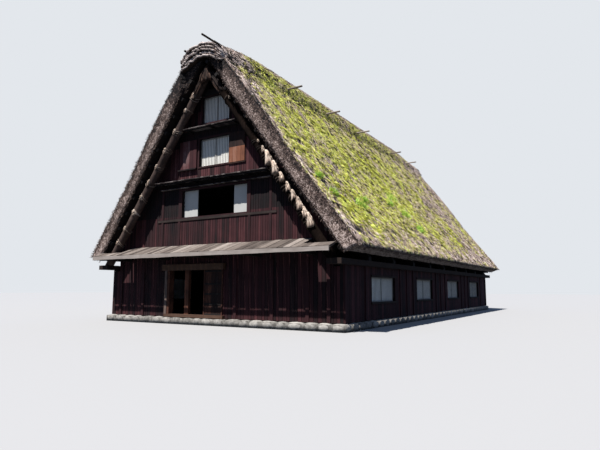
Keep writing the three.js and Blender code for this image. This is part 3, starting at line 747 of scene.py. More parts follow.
# Sawn cedar, smoked and oiled: a deep red-brown that is nearly black in its gaps and greys where worn.
DARK_STOPS: Stops = ((0.0, "#0b0506"), (0.45, "#36181a"), (0.8, "#502b2c"), (1.0, "#6b5452"))
DARK_CEDAR = WeatheredBoard("dark_cedar_boards", 0.004, stops=DARK_STOPS)
# Younger cedar of the door and a shutter: an orange-brown with clear grain.
RED_STOPS: Stops = ((0.0, "#1b0f0c"), (0.3, "#3d2218"), (0.6, "#794b35"), (1.0, "#95705f"))
RED_CEDAR = WeatheredBoard("red_cedar_boards", 0.004, stops=RED_STOPS)
# Hewn beams across the front: black-brown with soot, or a dull red-brown at the entrance.
DARK_BEAM = board("dark_beam_across", 0.004, Grain.ACROSS, "#0c0908", "#201815", "#463833")
RED_BEAM = board("red_beam_across", 0.004, Grain.ACROSS, "#2a1c15", "#513a2c", "#776051")
# Hewn timber along the house, brown-black from the hearth's smoke.
SMOKED_ALONG = board("smoked_timber_along", 0.006, Grain.ALONG, "#100b09", "#281c16", "#463629")
# Ledge boards: soot-brown, with a few planks bleached grey.
LEDGE_BOARD = board("sooty_ledge_boards", 0.004, Grain.ALONG, "#0f0b0b", "#2f2726", "#837a75", at=0.55)
# Sawn cedar bleached silver by rain, on the pent roof and its paler edge board; the roof's boards are also
# painted darker than the edge board as the verge's shade.
SHADED_SILVER_BOARD = board("silver_grey_boards", 0.005, Grain.ALONG, "#332b26", "#655b53", "#978d84")
SILVER_EDGE = board("silver_grey_edge", 0.005, Grain.ACROSS, "#4a413b", "#857b73", "#aaa199")
# Peeled logs: long fibres and dark checks; the right log, under the verge, is painted near black as its shade
# and is fully matt.
LOG_WOOD = board("peeled_log", 0.02, Grain.UP, "#0f0a08", "#3a2c26", "#7f6c61", spread=0.8)
FULLY_MATT = {"roughness": 1.0, "specular": 0.04}
SHADED_LOG = board("log_painted_shade", 0.02, Grain.UP, "#060403", "#130d0a", "#2e231d", spread=0.8, **FULLY_MATT)
# Ridge poles: bleached grey where they stand out, and dark where they lie in straw.
POLE_WOOD = board("ridge_pole_wood", 0.008, Grain.ACROSS, "#3a3029", "#7d7166", "#b5aa9d")
DARK_POLE = board("dark_pole_wood", 0.008, Grain.ALONG, "#17110e", "#302722", "#52473e")
# Twisted rice straw rope, grey-brown and dull, and combed straw that stays tan and catches the sun.
GREY_ROPE = board("straw_rope", 0.006, Grain.ACROSS, "#221914", "#6b5c50", "#b5a698")
TAN_STRAW = board("tan_straw_bundles", 0.012, Grain.UP, "#33251d", "#a08c7c", "#ead8c4", at=0.45, spread=0.9)
# Straw bound over the logs' heads, browned by smoke and deep in the hood's shade.
BOUND_STRAW = board("bound_straw", 0.01, Grain.UP, "#0a0605", "#2e1f18", "#644a3b", spread=0.9)
# Planed window bars, bleached nearly as pale as the paper behind them.
WINDOW_BAR = board("window_bar_wood", 0.001, Grain.UP, "#6f6b64", "#98948c", "#b4b1aa")
PAPER = WashiPaper("washi_paper", 0.0005)
# The lower front screens' paper is painted greyer, as the shade of the ledge over them.
SHADED_PAPER = WashiPaper("aged_washi_paper", 0.0005, white="#bab9b4", aged="#a9a8a1")
STONE = FieldStone("field_stone", 0.02)
FLOOR = PaleFloor("pale_floor", 0.0001)


# The thatch


def moss_share(y: Array, down: Array, side: Side) -> Array:
    """Share of moss on the outer slope.

    Two sizes of noise, thinned towards the gable ends, the eaves and the far half, and over one worn
    patch near the front of the ridge.

    Args:
        y: Place along the ridge.
        down: Distance down the slope from the apex.
        side: Which slope.

    Returns:
        Numbers from 0 to 1.
    """
    flat = spots(down * 0.5, y * 0.8, 3.7 * side.value)
    noise = 0.52 * rough(flat, 1.0, 11) + 0.46 * rough(flat, 0.25, 12)
    from_verge = ROOF.verge_at(ROOF.outer_apex - 0.79 * down) - np.abs(y)
    thin = (0.62 - 0.2 * ramp(down, 5.0, 9.0)) * (1 - ramp(from_verge, 0.15, 1.1)) + 0.36 * ramp(y, -5.0, 10.0)
    thin = thin + 0.36 * ramp(down, 9.6, 11.4) + 0.42 * ramp(-y, 10.6, 12.4) * (1 - ramp(down, 2.6, 4.6))
    return np.clip(0.62 + noise - thin, 0, 1)


def speck(y: Array, down: Array, side: Side) -> Array:
    """Noise from -1 to 1 that neighbouring straws share, 0.2 m down the slope and 0.13 m along it."""
    return rough(spots(down * 0.65, y, 8.3 * side.value), 0.13, 17)


def clump_height(y: Array, down: Array, side: Side) -> Array:
    """Noise from -1 in the hollows to 1 on the tufts, 0.35 m down the slope and 0.22 m along it."""
    return rough(spots(down * 0.6, y, 5.1 * side.value), 0.22, 13)


def straw_tone(mossy: Array, fine: Array, tufted: Array, share: Array, down: Array, random: Random) -> Array:
    """Place of each straw on the loose straw's ramp: moss or dry straw, and near black in specks that are
    painted shadow between the tufts.

    Args:
        mossy: Whether each is moss.
        fine: The noise that neighbours share.
        tufted: Height of the tuft that each stands on, from -1 to 1.
        share: Share of moss there; dry straw is pink where it is low and tan where it is high.
        down: Distance down the slope; the painted shadow specks get rarer that way.
        random: The source of random numbers.

    Returns:
        Numbers from 0 to 1.
    """
    stir = random.normal(0, 0.045, len(fine)) + 0.08 * tufted
    green = np.clip(0.70 + 0.28 * fine + stir, 0.54, 0.85)
    pink = np.clip(0.20 + 0.15 * fine + 0.6 * stir, 0.02, 0.30)
    tan = np.clip(0.44 + 0.11 * fine + 0.6 * stir, 0.36, 0.50)
    dry = np.where(random.uniform(0, 1, len(fine)) < ramp(share, 0.05, 0.4), tan, pink)
    # Straws in the specks are painted near black: the shadows between the tufts.
    dark = fine < -0.22 - 0.2 * ramp(down, 2.5, 6.5)
    return np.where(dark, random.uniform(0.0, 0.04, len(fine)), np.where(mossy, green, dry))


@dataclass
class ThatchSlope:
    """One side of the thatch: a thick slab with rounded edges, lumps, tufts and loose straws."""

    side: Side
    slope_length: float = 11.6
    thickness: float = 0.62
    round_edge: float = 0.12
    top: float = 0.03  # share of the slope that the slab's flat top takes
    step: float = 0.105
    fine_step: float = 0.035
    straw_reach: float = 7.195  # no straw stands further out
    tufts: int = 60000
    edge_straws: int = 1400
    stems_per_square_metre: float = 420.0
    herb_straws: int = 210
    herbs: tuple[tuple[float, float, float], ...] = (  # down the slope, along the ridge, radius
        (9.15, -11.75, 0.34), (9.3, -9.5, 0.50), (8.9, -8.6, 0.34), (7.6, -3.2, 0.62),
        (8.3, -4.6, 0.45), (8.8, -3.2, 0.5), (9.8, -2.6, 0.6), (8.3, -11.9, 0.24),
    )

    def skin(self, v: Array, w: Array) -> tuple[Array, Array]:
        """X and Z of the slab at a share v down the slope and a share w from the underside outwards.

        Args:
            v: Shares from the ridge to the eave.
            w: Shares from the underside to the outer side.

        Returns:
            Both, for each pair.
        """
        tan = math.tan(ROOF.outer_angle)
        flat_x = (ROOF.outer_apex - ROOF.flat_top) / tan
        below = flat_x + (v - self.top) / (1 - self.top) * (ROOF.outer_foot[0] - flat_x)
        plane_x = np.where(v < self.top, v / self.top * flat_x, below)
        plane_z = np.where(v < self.top, ROOF.flat_top, ROOF.outer_apex - plane_x * tan)
        lift = ROOF.bulge_at(ROOF.down_at(plane_z))
        outer_x = plane_x + lift * math.sin(ROOF.outer_angle)
        outer_z = plane_z + lift * math.cos(ROOF.outer_angle)
        inner_x = v * ROOF.inner_foot[0]
        inner_z = ROOF.inner_apex - inner_x * math.tan(ROOF.inner_angle)
        return inner_x + (outer_x - inner_x) * w, inner_z + (outer_z - inner_z) * w

    def slab(self) -> Surface:
        """Builds the slab.

        A box grid is laid over the slope's section and carried along the ridge. Its edges are rounded
        by pulling each corner back to a fixed distance from the core, and every point is then moved
        along its own outward direction by noise.

        Returns:
            The slab's surface.
        """
        v = stations(self.slope_length, self.step, 0.3, 0.05) / self.slope_length
        t = stations(2 * ROOF.verge, self.step, 0.35, self.fine_step) / ROOF.verge - 1
        w = stations(self.thickness, 0.08, 0.12, 0.03) / self.thickness
        places, faces, sides = box_lattice(len(v), len(t), len(w))
        pv, pt, pw = v[places[:, 0]], t[places[:, 1]], w[places[:, 2]]
        x, z = self.skin(pv, pw)
        verge = ROOF.verge_at(z, x)
        y = pt * verge

        c, s = math.cos(ROOF.outer_angle), math.sin(ROOF.outer_angle)
        r = self.round_edge
        to_end = np.clip((np.abs(y) - verge + r) / r, 0, 1) * np.sign(y)
        to_out = np.clip((pw - 1) * self.thickness / r + 1, 0, 1) - np.clip(1 - pw * self.thickness / r, 0, 1)
        to_eave = np.clip((pv - 1) * self.slope_length / r + 1, 0, 1)
        push = spots(to_out * s + to_eave * c, to_end, to_out * c - to_eave * s)
        size = np.linalg.norm(push, axis=1, keepdims=True)
        rounded = np.where(size > 1, push / np.maximum(size, 1e-6), push)
        points = spots(x, y, z) + r * (rounded - push)

        down = pv * self.slope_length
        tufted = clump_height(points[:, 1], ROOF.down_at(points[:, 2]), self.side)
        lumps = 0.03 * rough(points, 2.6, 1) + 0.06 * tufted + 0.035 * rough(points, 0.17, 3) - 0.025
        ends = 0.03 * rough(points, 0.5, 4) + 0.03 * rough(points, 0.14, 5) - 0.005
        outer_part = np.clip(to_out, 0, 1) * ramp(down, 0.5, 1.7)
        end_part = np.abs(to_end)
        move = lumps * outer_part * (1 - 0.4 * end_part) + ends * end_part + (ends - 0.03) * to_eave
        points = points + unit(rounded) * move[:, None]
        points[:, 0] = np.clip(points[:, 0], SEAM, ROOF.widest)

        moss = moss_share(points[:, 1], ROOF.down_at(points[:, 2]), self.side)
        # Hollows between the tufts get a tint below zero, which the finish paints near black as shade; near
        # the gable ends it may go deeper.
        darkest = -0.1 - 0.3 * (1 - ramp(verge - np.abs(y), 0.8, 2.6))
        moss = np.maximum(moss - 0.85 * ramp(-tufted, 0.1, 0.6), darkest)
        # The cut ends are painted darker over their outer band, as the shade of the slope's overhanging tufts,
        # and darker still near the ridge, as the shade of the hood.
        ragged = pw + 0.22 * rough(points, 0.3, 6) + 0.12 * rough(points, 0.1, 7)
        end_light = 0.16 + 0.36 * (1 - ramp(ragged, 0.48, 0.8)) + 0.2 * ramp(down, 8.8, 11.6)
        hood_shade_to = (2.2, 3.4) if self.side is Side.LEFT else (1.0, 2.4)
        end_light = end_light - 0.5 * (1 - ramp(down, *hood_shade_to))
        tint = np.where(to_out > 0.7, moss, np.clip(end_light, -0.3, 1))
        tint = np.where((pw == 0) & (np.abs(to_end) < 0.5), 0.3, tint)
        finish = np.select([sides == 5, sides == 4], [0, 2], 1)
        made = Surface()
        points[:, 0] *= self.side.value
        made.add(points, faces if self.side is Side.RIGHT else faces[:, ::-1], tint, finish)
        return made

    def tuft_straws(self, made: Surface, random: Random) -> None:
        """Adds moss tufts and straws that lie down the slope with lifted tips, and leaves the hollows bare.

        Args:
            made: The surface to add to.
            random: The source of random numbers.
        """
        c, s = math.cos(ROOF.outer_angle), math.sin(ROOF.outer_angle)
        down = random.uniform(1.55, self.slope_length, self.tufts)
        x, z = ROOF.over(down, ROOF.bulge_at(down))
        y = random.uniform(-1, 1, self.tufts) * (ROOF.verge_at(z) - 0.05)
        tufted = clump_height(y, down, self.side)
        kept = tufted + random.normal(0, 0.12, self.tufts) > -0.12
        down, x, y, z, tufted = (a[kept] for a in (down, x, y, z, tufted))
        count = len(down)
        share = moss_share(y, down, self.side)
        stand = 0.06 * tufted - 0.02
        roots = spots(x + s * stand, y, z + c * stand)
        length = random.uniform(0.09, 0.21, count)
        lift = random.uniform(0.0, 0.35, count) + 0.35 * ramp(tufted, 0.1, 0.7)
        lift = lift * ramp(ROOF.verge_at(z) - np.abs(y), -0.1, 0.7)
        way = spots(c + s * lift, random.normal(0, 0.22, count), -s + c * lift)
        mossy = random.uniform(0, 1, count) < 1.3 * share - 0.1 + 0.2 * tufted
        tone = straw_tone(mossy, speck(y, down, self.side), tufted, share, down, random)
        made.straws(roots, way, length, random.uniform(0.012, 0.028, count), tone, reach=self.straw_reach)

    def herb_tufts(self, made: Surface, random: Random) -> None:
        """Adds the small bright green plants that grow low on the slope.

        Args:
            made: The surface to add to.
            random: The source of random numbers.
        """
        count = self.herb_straws
        for down, along, radius in self.herbs:
            spread = random.normal(0, 1, (count, 2)) * radius * np.array([0.22, 0.45])
            x, z = ROOF.over(down + spread[:, 0], ROOF.bulge_at(down + spread[:, 0]))
            roots = spots(x - 0.01, along + spread[:, 1], z - 0.01)
            out, aside = random.uniform(0.1, 0.9, count), random.normal(0, 0.6, count)
            way = spots(out, aside, random.uniform(0.2, 1.0, count))
            length, radius = random.uniform(0.08, 0.24, count), random.uniform(0.012, 0.024, count)
            tint = random.uniform(0.78, 1.0, count)
            made.straws(roots, way, length, radius, tint, reach=self.straw_reach)

    def stem_ends(self, made: Surface, end: End, random: Random) -> None:
        """Adds the reed stems that stand out of one cut end, and the ragged straws along its edges.

        Args:
            made: The surface to add to.
            end: Which cut end.
            random: The source of random numbers.
        """
        count = int(self.stems_per_square_metre * self.slope_length * self.thickness)
        v, w = random.uniform(0.02, 1, count), random.uniform(0, 1, count)
        x, z = self.skin(v, w)
        roots = spots(x, end.value * (ROOF.verge_at(z, x) - 0.05), z)
        way = spots(random.normal(0, 0.35, count), end.value, random.normal(-0.35, 0.3, count))
        length = random.uniform(0.05, 0.10, count)
        # Stems of the outer part are painted darker, like the cut ends' outer band: painted shade.
        inner = w + random.normal(0, 0.14, count) < 0.48
        shade = np.where(inner, random.uniform(0.02, 0.20, count), random.uniform(0.0, 0.14, count))
        made.straws(roots, way, length, random.uniform(0.006, 0.014, count), shade)

        count = self.edge_straws
        v = random.uniform(0.1, 1, count)
        low = random.uniform(0, 1, count) < 0.4
        under, outer = random.uniform(-0.02, 0.06, count), random.uniform(0.93, 1.0, count)
        x, z = self.skin(v, np.where(low, under, outer))
        roots = spots(x, end.value * (ROOF.verge_at(z, x) - random.uniform(0.02, 0.12, count)), z)
        way = spots(
            np.where(low, -0.35, 0.3) + random.normal(0, 0.2, count),
            0.8 * end.value,
            np.where(low, -0.8, -0.2) + random.normal(0, 0.25, count),
        )
        length = random.uniform(0.05, 0.12, count)
        shade = np.where(low, random.uniform(0.0, 0.13, count), random.uniform(0.07, 0.31, count))
        made.straws(roots, way, length, random.uniform(0.008, 0.016, count), shade)

    def handed(self, made: Surface) -> Surface:
        """Mirrors what was gathered for the right side over to the left, where it is the left one.

        Args:
            made: The surface of the right side.

        Returns:
            The same surface, for this side.
        """
        if self.side is Side.LEFT:
            for part in made.points:
                part[:, 0] *= -1
            made.faces = [(f[:, ::-1], slots) for f, slots in made.faces]
        return made

    def build(self) -> None:
        """Makes and dresses the slab, its tufts and small plants, and the stems of both ends."""
        name = self.side.label
        skins = [THATCH[self.side], REED_ENDS, UNDERSIDE_SHADE_REED]
        random = np.random.default_rng(5 + self.side.value)
        self.slab().piece(f"{name}_thatch_slab", skins, "thatch", [f"{name}_thatch"], smooth=True)
        tufts = Surface()
        self.tuft_straws(tufts, random)
        self.herb_tufts(tufts, random)
        self.handed(tufts).piece(f"{name}_thatch_tufts", [STRAWS], "thatch")
        stems = Surface()
        for end in End:
            self.stem_ends(stems, end, random)
        self.handed(stems).piece(f"{name}_thatch_stems", [STRAWS], "thatch")


@dataclass
class RidgeCap:
    """The ridge's thick straw cap: a hood of layered strips at each end, and poles along and through it."""

    end: float = 13.35
    lip: float = 13.0  # the hood hangs in front of the thatch from here outwards
    hood: float = 12.3  # where the layered strips start
    droop: float = 0.72
    droop_length: float = 4.8
    droop_power: float = 2.3
    strips: int = 5
    strip_gap: float = 0.22  # share of a strip that is open under it
    arch: tuple[Range, ...] = ((0.0, 11.39), (0.5, 11.25), (0.9, 11.05), (1.149, 10.95))
    groove: tuple[float, float, float] = (0.69, -12.15, -9.1)  # its share down the side, and its ends
    slot: float = 0.66  # where a dark slot parts the hood's strips from the straw tangle on their right
    side_straws: int = 18000
    end_straws: int = 1100
    pole_radius: float = 0.05
    cross_half_length: float = 1.9
    cross_height: float = 11.52
    cross_y: tuple[float, ...] = (-8.0, -3.85, 0.3, 6.05, 9.45)

    def profile(self, share: Array, kind: str) -> tuple[Array, Array, Array]:
        """X, Z and droop share along a side of the section, at a share of the way from the crown down.

        Args:
            share: Places from 0 at the crown to 1 at the lower edge.
            kind: The hood's outer side, the middle's, which runs on over the slope as a skirt, the inner
                side on the thatch, or the hood's arch.

        Returns:
            X, Z and the share of the droop at each place.
        """
        crown = [(0.0, 12.73, 1.0), (0.22, 12.62, 0.95), (0.45, 12.33, 0.57)]
        skirt = [(*ROOF.over(0.9, 0.36), 0.12), (*ROOF.over(1.3, 0.31), 0.0), (*ROOF.over(1.72, 0.145), 0.0)]
        rows = {
            "outer": crown + [(*ROOF.over(0.9, 0.30), 0.12), (*ROOF.over(1.5, 0.17), -0.06)],
            "skirt": crown + skirt,
            "inner": [(0.0, 11.953, 0.0), (0.348, 11.953, 0.0), (*ROOF.over(1.5, 0.003), 0.0)],
            "arch": [(x, z, 0.0) for x, z in self.arch],
        }[kind]
        x, z, droop = np.array(rows).T
        run = np.concatenate([[0], np.cumsum(np.hypot(np.diff(x), np.diff(z)))])
        run = run / run[-1]
        return np.interp(share, run, x), np.interp(share, run, z), np.interp(share, run, droop)

    def drooped(self, y: Array) -> Array:
        """How far the crown hangs at a place along the ridge."""
        inside = np.clip(1 - (self.end - np.abs(y)) / self.droop_length, 0, 1)
        return self.droop * inside**self.droop_power

    def ragged(self, strip: int, pt: Array, ps: Array, pw: Array) -> Array:
        """Places along the ridge, pulled in at the outer end of one of the hood's strips.

        Args:
            strip: The strip's number, from the lowest.
            pt: Places along the ridge before.
            ps: Places across the section.
            pw: Shares from the strip's underside to its top.

        Returns:
            The places along the ridge.
        """
        near = ramp(np.abs(pt), self.lip, self.end)
        wave = spots(ps * 2.6, strip * 7.0, np.sign(pt))
        back = 0.018 * (self.strips - 1 - strip) + 0.03 * (strip % 2)
        pull = back + 0.04 + 0.08 * rough(wave, 0.3, 22) + 0.06 * rough(wave, 0.07, 27)
        pull = pull + 0.04 * (2 * pw - 1) ** 2
        pull = pull + 0.5 * np.exp(-(((ps - self.slot) / 0.035) ** 2)) * (pt < 0)
        return pt - np.sign(pt) * near * np.clip(pull, 0.0, 0.34)

    def shell(self, t: Array, strip: int | None = None) -> tuple[Array, Array, Array, Array]:
        """A closed shell over the section, carried along the ridge.

        Args:
            t: Places along the ridge, in order.
            strip: The number of one of the hood's strips, or nothing for the whole middle.

        Returns:
            Points, faces, the side ids, and each point's place across the section.
        """
        s, w = np.linspace(-1, 1, 75), np.array([0.0, 0.5, 1.0])
        places, faces, sides = box_lattice(len(s), len(t), len(w))
        ps, pt, pw = s[places[:, 0]], t[places[:, 1]], w[places[:, 2]]
        kind, low, high, seed, y = "skirt", 0.0, 1.0, 0.0, pt
        if strip is not None:
            kind, low, seed, y = "outer", strip / self.strips, strip * 3.0, self.ragged(strip, pt, ps, pw)
            high = 1.0 if strip == self.strips - 1 else (strip + 1 - self.strip_gap) / self.strips
        level = low + (high - low) * pw
        ox, oz, droop = self.profile(np.abs(ps), kind)
        mx, mz, _ = self.profile(np.abs(ps), "inner")
        ax, az, _ = self.profile(np.abs(ps), "arch")
        hangs = np.abs(pt) > self.lip
        ix, iz = np.where(hangs, ax, mx), np.where(hangs, az, mz)
        hand = np.where(ps < 0, -1.0, 1.0)
        z = iz + (oz - iz) * level - self.drooped(y) * droop * level
        points = spots((ix + (ox - ix) * level) * hand, y, z)
        out = unit(spots((ox - ix) * hand, 0, oz - iz))
        moved = points + [0, 0, seed]
        lump = 0.045 * rough(moved, 0.32, 23) + 0.035 * rough(moved, 0.13, 24) - 0.02
        if strip is None:
            lump = lump - 0.24 * self.groove_depth(y, np.abs(ps))
        else:
            flare = 0.09 * self.drooped(y) / self.droop * np.clip((np.abs(ps) - 0.66) / 0.34, 0, 1)
            points[:, 0] += flare * level * hand
        rim = 1.0 * (pw == 1) if high == 1.0 else 0.55 * (pw > 0)
        return points + out * (lump * rim)[:, None], faces, sides, ps

    def cap(self) -> Surface:
        """Builds the long middle shell, and the hood's strips at both ends.

        The middle shell carries the slope's moss on its two sides. A strip is a shell between two
        depths of the hood's section: its end is rounded, stands in or out of its neighbours' and is
        ragged, and a gap is left under it.

        Returns:
            The cap's surface.
        """
        made = Surface()
        points, faces, sides, ps = self.shell(np.linspace(-self.hood - 0.3, self.hood + 0.3, 220))
        side_of = np.where(np.mean(points[faces][..., 0], axis=1) < 0, 2, 1)
        # The groove is painted dark below the moss, as the shade beside the pole.
        tint = self.moss(points[:, 1], np.abs(ps)) - 1.6 * self.groove_depth(points[:, 1], np.abs(ps))
        made.add(points, faces, tint, np.where(sides == 5, side_of, 0))
        inside = np.linspace(self.hood, self.lip - 0.05, 5)
        hanging = np.linspace(self.lip + 0.002, self.end, 7)
        t = np.concatenate([inside, [self.lip - 0.001], hanging])
        for end in End:
            for strip in range(self.strips):
                points, faces, sides, ps = self.shell(np.sort(end.value * t), strip)
                shade = 0.88 + 0.55 * rough(points, 0.3, 25) + 0.1 * (strip % 2)
                # The strips' undersides take the dark underside finish as painted shade.
                made.add(points, faces, np.clip(shade, 0.2, 1.3), np.where(sides == 4, 3, 0))
        return made

    def moss(self, y: Array, share: Array) -> Array:
        """Share of moss on the cap, with bare straw on the crown and for the first metre and a half."""
        bare = 0.85 * (1 - ramp(ROOF.verge - np.abs(y), 0.4, 2.2)) + 0.5 * (1 - ramp(share, 0.12, 0.45))
        return np.clip(moss_share(y, 2.4 + 2.0 * share, Side.RIGHT) - bare, 0, 1)

    def groove_depth(self, y: Array, share: Array) -> Array:
        """How deep the broken groove beside the ridge pole is, from 0 to 1.

        Args:
            y: Places along the ridge.
            share: Shares down the cap's skin.

        Returns:
            The depth at each.
        """
        centre, start, stop = self.groove
        along = ramp(y, start, start + 0.3) * (1 - ramp(y, stop - 0.6, stop))
        broken = ramp(rough(spots(0, y, 0), 0.45, 26), -0.4, 0.1)
        return along * broken * np.exp(-(((share - centre) / 0.055) ** 2))

    def side_tufts(self, made: Surface, random: Random) -> None:
        """Adds loose straws and moss tips on the cap's sides.

        Args:
            made: The surface to add to.
            random: The source of random numbers.
        """
        count = self.side_straws
        share = random.uniform(0.02, 1.0, count)
        hand = random.choice([-1, 1], count)
        y = random.uniform(-1, 1, count) * (self.end - 0.5)
        crowded = random.uniform(0, 1, count) < 0.2
        y = np.where(crowded, np.sign(y) * random.uniform(11.2, self.end - 0.3, count), y)
        kept = self.groove_depth(y, share) < random.uniform(0.1, 0.7, count)
        share, hand, y = share[kept], hand[kept], y[kept]
        count = len(y)
        ox, oz, droop = self.profile(share, "skirt")
        nx, nz, _ = self.profile(np.minimum(share + 0.03, 1.0), "skirt")
        roots = spots(ox * hand, y, oz - self.drooped(y) * droop - 0.02)
        down = spots((nx - ox + 0.001) * hand, 0, nz - oz - 0.001)
        lift = random.uniform(-0.05, 0.45, count)
        way = unit(down) + spots(lift * hand, random.normal(0, 0.6, count), lift)
        length = random.uniform(0.06, 0.18, count)
        moss = self.moss(y, share)
        mossy = random.uniform(0, 1, count) < moss
        bright = 0.9 * (1 - ramp(ROOF.verge - np.abs(y), 0.6, 2.4))
        tone = straw_tone(mossy, speck(y, 2.0 * share, Side.RIGHT), bright, moss, 2.0 * share, random)
        made.straws(roots, way, length, random.uniform(0.01, 0.022, count), tone)

    def tangle(self, made: Surface, end: End, random: Random) -> None:
        """Adds the loose straws of one end of the hood, most of them beyond the slot.

        Args:
            made: The surface to add to.
            end: Which end of the ridge.
            random: The source of random numbers.
        """
        count = self.end_straws
        share, depth = random.uniform(0.0, 1, count), random.uniform(0.05, 1, count)
        tangled = random.uniform(0, 1, count) < 0.65
        hand = np.where(tangled, -end.value, random.choice([-1, 1], count))
        share = np.where(tangled, self.slot + (1 - self.slot) * share, share)
        ox, oz, droop = self.profile(share, "outer")
        ax, az, _ = self.profile(share, "arch")
        depth = np.where(tangled, depth, 0.4 + 0.6 * depth)
        y = end.value * (self.end - 0.16 - 0.1 * random.uniform(0, 1, count))
        z = az + (oz - az) * depth - self.drooped(y) * droop * depth
        roots = spots((ax + (ox - ax) * depth) * hand, y, z)
        way = spots(random.normal(0, 0.5, count), 0.6 * end.value, random.normal(-0.3, 0.4, count))
        length, radius = random.uniform(0.05, 0.15, count), random.uniform(0.008, 0.018, count)
        made.straws(roots, way, length, radius, random.uniform(0.09, 0.31, count))

    def length_pole(self, name: str, x: float, z: float, reach: float) -> None:
        """Makes one pole along the ridge, a little crooked.

        Args:
            name: Which pole.
            x: Where it lies across.
            z: Height of its middle.
            reach: Half its length.
        """
        t = stations(2 * reach, 0.4, 1.4, 0.2) - reach
        line, spot = spots(x, t, z), spots(t, x, z)
        inner = ramp(reach - np.abs(t), 0.0, 0.4)
        line[:, 0] += 0.010 * rough(spot, 1.7, 31) * inner
        line[:, 2] -= 0.004 + 0.003 * rough(spot, 1.7, 32) * inner
        radius = self.pole_radius - 0.003 + 0.003 * rough(line, 0.5, 33)
        made = Surface()
        made.tubes(line[None], radius[None], 10, tint=0.4)
        made.piece(f"ridge_pole_{name}_wood", [DARK_POLE], "rafter_logs", [f"ridge_pole_{name}"], smooth=True)

    def poles(self, random: Random) -> None:
        """Makes the three poles along the ridge and the cross poles.

        Args:
            random: The source of random numbers.
        """
        shoulder_x, shoulder_z = ROOF.over(1.0, 0.230 + 0.0541)
        self.length_pole("top", 0.0, 12.40, 13.2)
        self.length_pole("left", -shoulder_x, shoulder_z, self.end)
        self.length_pole("right", shoulder_x, shoulder_z, self.end)
        for number, y in enumerate(self.cross_y, 1):
            far = self.cross_half_length
            line = spots(np.linspace(-far, far, 20), y, self.cross_height)
            line[:, 1] += 0.006 * rough(line, 0.6, 40 + number)
            radius = self.pole_radius - 0.004 * random.uniform() + 0.003 * rough(line, 0.3, 50 + number)
            name = f"ridge_cross_pole_{number}"
            made = Surface()
            made.tubes(line[None], radius[None], 10, tint=0.6 + 0.3 * random.uniform(-1, 1))
            made.piece(f"{name}_wood", [POLE_WOOD], "rafter_logs", [name], smooth=True)

    def build(self) -> None:
        """Makes and dresses the cap, its straws and the poles."""
        random = np.random.default_rng(77)
        skins = [RIDGE_STRAW, THATCH[Side.RIGHT], THATCH[Side.LEFT], UNDERSIDE_SHADE_REED]
        self.cap().piece("ridge_cap_courses", skins, "ridge_thatch", ["ridge_cap"], smooth=True)
        straws = Surface()
        self.side_tufts(straws, random)
        for end in End:
            self.tangle(straws, end, random)
        straws.piece("ridge_cap_straws", [STRAWS], "ridge_thatch")
        self.poles(random)


# Walls


@dataclass(frozen=True)
class Opening:
    """A rectangular window or door hole in a wall, along the wall and in height."""

    left: float
    right: float
    bottom: float
    top: float


